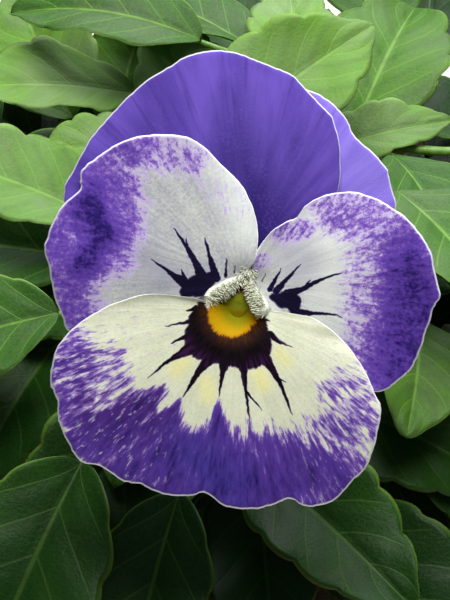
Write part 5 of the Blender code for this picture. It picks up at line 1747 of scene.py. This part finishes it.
def leafy_mound():
    """Leaves round the dome by the golden angle, smaller ones where it is bare, then the last gaps."""
    draw = random.Random(LEAF_SEED)
    mound = Mound()
    for index in range(LEAVES):
        share, turn = (index + 0.5) / LEAVES, index * GOLDEN_ANGLE
        layer = DOME_LAYERS[index % len(DOME_LAYERS)]
        for attempt in range(LEAF_TRIES):
            shrink = 1 - LEAF_SHRINK * attempt / LEAF_TRIES
            if mound.takes(Leaf(share, turn, layer, draw, shrink)):
                break
    for _ in range(FILLERS):
        share, turn = draw.uniform(0, 1), draw.uniform(0, math.tau)
        if not mound.covers(dome_point(share, turn, 1.0)):
            mound.fill(share, turn, FILLER_LAYERS, draw)
    for index in range(LOW_LEAVES):
        mound.fill(draw.uniform(0.8, 1), index * GOLDEN_ANGLE, LOW_LAYERS, draw)
    gap_draw = random.Random(GAP_SEED)
    for spot in GAP_SPOTS:
        mound.close_gap(spot, gap_draw)
    return mound.leaves


STEM_PATHS = [stem_path(index) for index in range(STEMS)]


# Leaves: soft ovate blades with rounded teeth, a sunken midrib and side veins, puffed between the veins.
# Each sits on a thin petiole. A painted sheen pales the upper leaves and painted shade darkens the lower
# ones, and the rim is a pale line.

FINE_LEAF_ROWS = 48
FINE_LEAF_COLUMNS = 18
FINE_LEAF_THICKNESS = 0.38
CRENATIONS = 5.5
CRENATION_DEPTH = 0.125
CRENATION_ROUNDNESS = 0.55
VEIN_PAIRS = 5.5
VEIN_SLANT = 0.27
QUILT = 0.24
RIB_GROOVE = 0.22
PETIOLE_UNDER_BLADE = 0.35
PETIOLE_END = 0.6
LEAF_DARK = tint(14, 44, 8)
LEAF_GREEN = tint(34, 80, 14)
LEAF_YOUNG = tint(80, 126, 14)
LEAF_PALE = tint(112, 154, 58)
LEAF_BACK = tint(104, 138, 82)
# painted sheen: the pale reflection on the upper leaves
LEAF_SHEEN = tint(150, 178, 120)
# painted shade for the lower leaves
LEAF_SHADOWED = tint(10, 38, 5)
BLADE_EDGE = 0.16
RIB_WIDTH = 0.09
TOOTH_POINTING = 0.35
LOW_LEAF = 96.0
HIGH_LEAF = 122.0
LOW_SHADE = 0.15
SHADE_DRAW = (0.3, 1.0)
SHADE_SEED = 5
STEM_GREEN = tint(104, 140, 66)
STEM_RED = tint(96, 70, 58)


def plate(rows, columns, at, thickness, mark):
    """A closed thin blade. at(t, a) gives its middle point and its normal, with t from 0 to 1 along the
    blade and a from -1 to 1 across it, and mark(t, a, side) what is kept on each point."""
    points, marks, grid = [], [], {}
    for side in (1, -1):
        for row in range(rows + 1):
            end = row in (0, rows)
            t = row / rows
            for column in range(columns + 1):
                key = (side, row, column)
                if end and column:
                    grid[key] = grid[side, row, 0]
                    continue
                if side == -1 and (end or column in (0, columns)):
                    grid[key] = grid[1, row, column]
                    continue
                a = 0.0 if end else 2 * column / columns - 1
                middle, normal = at(t, a)
                body = 0.0 if end else min(1.0, math.sqrt((1 - abs(a)) / BLADE_EDGE))
                grid[key] = len(points)
                points.append(middle + normal * side * thickness / 2 * body)
                marks.append(mark(t, a, side))
    faces = []
    for side in (1, -1):
        for row in range(rows):
            for column in range(columns):
                corners = (
                    grid[side, row, column],
                    grid[side, row, column + 1],
                    grid[side, row + 1, column + 1],
                    grid[side, row + 1, column],
                )
                corners = tuple(dict.fromkeys(corners))
                faces.append(corners if side == 1 else tuple(reversed(corners)))
    return points, faces, marks


def fine_leaf(leaf, shade):
    """The blade with rounded teeth, a groove along its midrib and puffed fields between its veins."""

    def at(t, a):
        reach = abs(a)
        ends = min(1.0, 9 * t, 9 * (1 - t))
        tooth = abs(math.sin(math.pi * CRENATIONS * t)) ** CRENATION_ROUNDNESS
        toothing = 1 + CRENATION_DEPTH * (tooth - 0.55) * ends * reach**3
        point, normal = leaf.at(t, a, toothing)
        field = abs(math.sin(math.pi * VEIN_PAIRS * (t - VEIN_SLANT * reach))) ** 0.7
        lift = QUILT * (field - 0.5) * ends * (1 - reach**4) * min(1.0, 3 * reach)
        lift -= RIB_GROOVE * math.exp(-((reach / RIB_WIDTH) ** 2)) * ends
        point = point + normal * lift + leaf.along * TOOTH_POINTING * tooth * ends * reach**6
        return point, normal

    def mark(t, a, side):
        return (a, t, shade if side == 1 else shade - 2)

    return plate(FINE_LEAF_ROWS, FINE_LEAF_COLUMNS, at, FINE_LEAF_THICKNESS, mark)


def leaf_finish():
    """Green, darker between the veins, with a pale rim line, a paler back and a shade for each leaf.

    The lower leaves get painted shade, and the upper ones a painted sheen.
    """
    made, shader = finish(
        "Leaf", 0.5, subsurface_weight=0.06, subsurface_scale=0.6 * MM, coat_weight=0.03,
        coat_roughness=0.4, specular_ior_level=0.12,
    )
    parts = split(add("ShaderNodeAttribute", attribute_name="blade")["Vector"])
    reach = maths("ABSOLUTE", parts[0])
    back = maths("LESS_THAN", parts[2], -0.5)
    shade = times_plus(back, 2.0, parts[2])
    place = add("ShaderNodeTexCoord")["Object"]
    clouds = noisy(place, 130.0, 4.0)[0]
    height = split(place)[2]
    fine = grain(place, 2200.0, 0.5)
    # each leaf's shade runs from painted shade on the lowest leaves to bright green on the upper ones,
    # with a random tone
    colour = mixed(ramp(shade, 0.0, 0.3), LEAF_SHADOWED, LEAF_GREEN)
    colour = mixed(ramp(shade, 0.3, 0.9), colour, LEAF_YOUNG)
    colour = mixed(ramp(clouds, 0.42, 0.66, 0.0, 0.6), colour, LEAF_DARK)
    along = minus(parts[1], times(reach, VEIN_SLANT))
    line = maths("FRACT", times(along, VEIN_PAIRS))
    line = maths("ABSOLUTE", minus(line, 0.5))
    side_vein = ramp(line, 0.44, 0.495)
    side_vein = times(side_vein, ramp(reach, 0.75, 0.95, 1.0, 0.0))
    midrib = ramp(reach, 0.015, 0.05, 1.0, 0.0)
    web = {"Vector": place, "Scale": 1500.0}
    web = add("ShaderNodeTexVoronoi", web, feature="DISTANCE_TO_EDGE")["Distance"]
    vein = maths("MAXIMUM", times(side_vein, 0.55), midrib)
    vein = maths("MAXIMUM", vein, ramp(web, 0.0, 0.14, 0.16, 0.0))
    colour = mixed(times(vein, 0.6), colour, LEAF_PALE)
    field = times(minus(0.5, line), 2.0)
    colour = mixed(ramp(field, 0.55, 1.0, 0.0, 0.25), colour, LEAF_DARK)
    rim = ramp(reach, 0.93, 0.985)
    colour = mixed(times(rim, 0.8), colour, LEAF_PALE)
    high = ramp(height, LOW_LEAF * MM, HIGH_LEAF * MM)
    # painted sheen: the upper leaves paled as by reflected light, more on some leaves than others
    painted_sheen = times(ramp(clouds, 0.3, 0.75, 0.15, 0.6), maths("POWER", high, 2.0))
    painted_sheen = times(painted_sheen, ramp(shade, 0.3, 0.8, 0.2, 0.85))
    colour = mixed(painted_sheen, colour, LEAF_SHEEN)
    # painted shade: the lower leaves darker
    colour = mixed(ramp(high, 0.05, 0.9, 0.8, 0.0), colour, LEAF_SHADOWED)
    colour = mixed(times(back, 0.7), colour, LEAF_BACK)
    roughness = times_plus(back, 0.2, times_plus(fine["Mask"], 0.25, 0.34))
    set_inputs(shader, {"Base Color": colour, "Roughness": roughness})
    bumped(shader, minus(fine["Height"], times(vein, 0.8)), 0.12, 0.6)
    return made


def stem_finish():
    """Soft ribbed stem: green, reddened near the soil, with fine lengthwise streaks."""
    made, shader = finish("Stems And Petioles", 0.5, subsurface_weight=0.15, subsurface_scale=0.6 * MM)
    place = add("ShaderNodeTexCoord")["Object"]
    height = split(place)[2]
    stretched = vectors("MULTIPLY", place, (1500.0, 1500.0, 180.0))
    fibres = noisy(stretched, 1.0, 2.0)[0]
    colour = mixed(ramp(fibres, 0.35, 0.65), STEM_GREEN, LEAF_YOUNG)
    red = ramp(height, (SOIL_TOP + 1) * MM, (SOIL_TOP + 16) * MM, 0.7, 0.0)
    colour = mixed(times(red, fibres), colour, STEM_RED)
    set_inputs(shader, {"Base Color": colour})
    bumped(shader, fibres, 0.08)
    return made


leaf_skin = leaf_finish()
stem_skin = stem_finish()
stem_settings = {
    "Sides": 12, "Steps": 6, "Unevenness": 0.12 * MM, "Blade Finish": leaf_skin,
    "Tube Finish": stem_skin,
}
leaves = leafy_mound()
shade_draw = random.Random(SHADE_SEED)
# painted shade: a leaf's tone is darker the lower it sits, times a random draw
for leaf in leaves:
    height = (leaf.foot + leaf.along * leaf.length * 0.5).z
    lit_share = min(1.0, max(0.0, (height - LOW_LEAF) / (HIGH_LEAF - LOW_LEAF)))
    leaf.shade = (LOW_SHADE + (1 - LOW_SHADE) * lit_share) * shade_draw.uniform(*SHADE_DRAW)
stem_blades = {index: [] for index in range(STEMS)}
stem_tubes = {index: [(path, stem_radii(path))] for index, path in enumerate(STEM_PATHS)}
for leaf in leaves:
    stem_blades[leaf.stem].append(fine_leaf(leaf, leaf.shade))
    path, radii = leaf.petiole_line(PETIOLE_RADIUS)
    path = path[:-1] + [path[-1] - leaf.spine(PETIOLE_IN_BLADE)[1] * PETIOLE_UNDER_BLADE]
    stem_tubes[leaf.stem].append((path, radii[:-1] + [radii[-1] * PETIOLE_END]))
for index in range(1, STEMS):
    solid = f"leafy_stem_{index:02d}"
    name = "fine_" + solid
    green = blades_and_tubes(name, stem_blades[index], stem_tubes[index], stem_settings, "blade")
    piece(name, green, "leaf_green", solid)


# Flowering stem: like the others, and it carries the bloom's bent stalk with two bracts, the receptacle
# and five lance-shaped sepals, each with an ear that points back.

NARROW_ROWS = 28
NARROW_COLUMNS = 8
NARROW_KEEL = 0.12


def narrow_blade(path, widths, normal, thickness, place):
    """A narrow green blade along a path: widest in its middle, keeled, and closed at both ends."""
    line = rounded_line([place @ p for p in path], 10)
    normal = (place.to_3x3() @ Vector(normal)).normalized()
    last = len(line) - 1

    def at(t, a):
        index = min(int(t * last), last - 1)
        centre = line[index].lerp(line[index + 1], t * last - index)
        side = (line[index + 1] - line[index]).cross(normal).normalized()
        step = min(int(t * (len(widths) - 1)), len(widths) - 2)
        share = t * (len(widths) - 1) - step
        width = widths[step] * (1 - share) + widths[step + 1] * share
        width *= min(1.0, math.sqrt(max(0.0, 12 * t)), math.sqrt(max(0.0, 9 * (1 - t))))
        lift = NARROW_KEEL * width * (abs(a) ** 1.5 - 0.4)
        return centre + side * a * width / 2 + normal * lift, normal

    def mark(t, a, side):
        return (a * 0.9, t, 0.5 if side == 1 else -1.5)

    return plate(NARROW_ROWS, NARROW_COLUMNS, at, thickness, mark)


bloom_blades = [narrow_blade(*line, BLOOM) for line in sepal_lines()]
bloom_blades += [narrow_blade(*line, Matrix.Identity(4)) for line in bract_lines()]
x, y = RECEPTACLE_AT
cup_back = RECEPTACLE_FRONT - RECEPTACLE_DEPTH
cup_line = ((cup_back, 0.62), (cup_back + 0.35, 0.82), (-7.3, 1.0), (-6.4, 1.0), (RECEPTACLE_FRONT, 0.93))
cup = ([BLOOM @ Vector((x, y, z)) for z, _ in cup_line], [RECEPTACLE_RADIUS * r for _, r in cup_line])
stalk = stalk_path()
bloom_tubes = [cup, (stalk, [STALK_RADIUS] * len(stalk))]
flowering = blades_and_tubes(
    "fine_flowering_stem", stem_blades[0] + bloom_blades, stem_tubes[0] + bloom_tubes, stem_settings,
    "blade",
)
piece("fine_flowering_stem", flowering, "leaf_green", "flowering_stem")


# Studio: a plain pale floor, soft light from a large lamp above the plant and from a larger one behind
# it, and a pale sky all round. The camera looks square on to the face of the bloom.

FLOOR_SIZE = 6.0
LENS = 180.0
SENSOR = 36.0
CAMERA_DISTANCE = 300.0
LAMPS_AIM = (0.0, 0.0, 0.12)
SKY = (0.80, 0.90, 1.0, 1.0)
SKY_STRENGTH = 0.14


def floor_finish():
    """Pale matt floor with a barely seen unevenness."""
    made, shader = finish("Pale Floor", 0.8)
    clouds = noisy(add("ShaderNodeTexCoord")["Object"], 3.0, 3.0)[0]
    colour = mixed(clouds, tint(206, 204, 198), tint(214, 212, 207))
    set_inputs(shader, {"Base Color": colour})
    return made


def lamp(name, size, power, at, towards, colour):
    """A soft square lamp that looks at a spot."""
    made = bpy.data.lights.new(name, "AREA")
    made.shape = "SQUARE"
    made.size = size
    made.energy = power
    made.color = colour
    held = shown(name, made)
    held.location = at
    held.rotation_euler = (Vector(towards) - Vector(at)).to_track_quat("-Z", "Y").to_euler()


half = FLOOR_SIZE / 2
floor_mesh = bpy.data.meshes.new("floor")
corners = [(-half, -half, 0), (half, -half, 0), (half, half, 0), (-half, half, 0)]
floor_mesh.from_pydata(corners, [], [(0, 1, 2, 3)])
floor_mesh.materials.append(floor_finish())
floor = shown("floor", floor_mesh)
floor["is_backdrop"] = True

sky = bpy.data.worlds.new("sky")
sky.use_nodes = True
set_inputs(sky.node_tree.nodes["Background"], {"Color": SKY, "Strength": SKY_STRENGTH})
bpy.context.scene.world = sky
lamp("top_lamp", 0.6, 15.5, (0.08, -0.02, 1.1), LAMPS_AIM, (1.0, 0.98, 0.95))
lamp("back_lamp", 1.2, 24.0, (0.25, 1.0, 0.95), LAMPS_AIM, (0.94, 0.98, 1.0))

eye = bpy.data.cameras.new("camera")
eye.sensor_width = SENSOR
eye.lens = LENS
eye.clip_start = 0.01
camera = shown("camera", eye)
seat = Matrix.Translation(BLOOM @ Vector((*VIEW_CENTRE, CAMERA_DISTANCE)) * MM)
camera.matrix_world = seat @ BLOOM.to_3x3().to_4x4()
bpy.context.scene.camera = camera
bpy.context.scene.view_settings.view_transform = "Standard"

boxes = {"solids": solid_box, "visual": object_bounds()}
plain = {name: [[float(part) for part in corner] for corner in box] for name, box in boxes.items()}
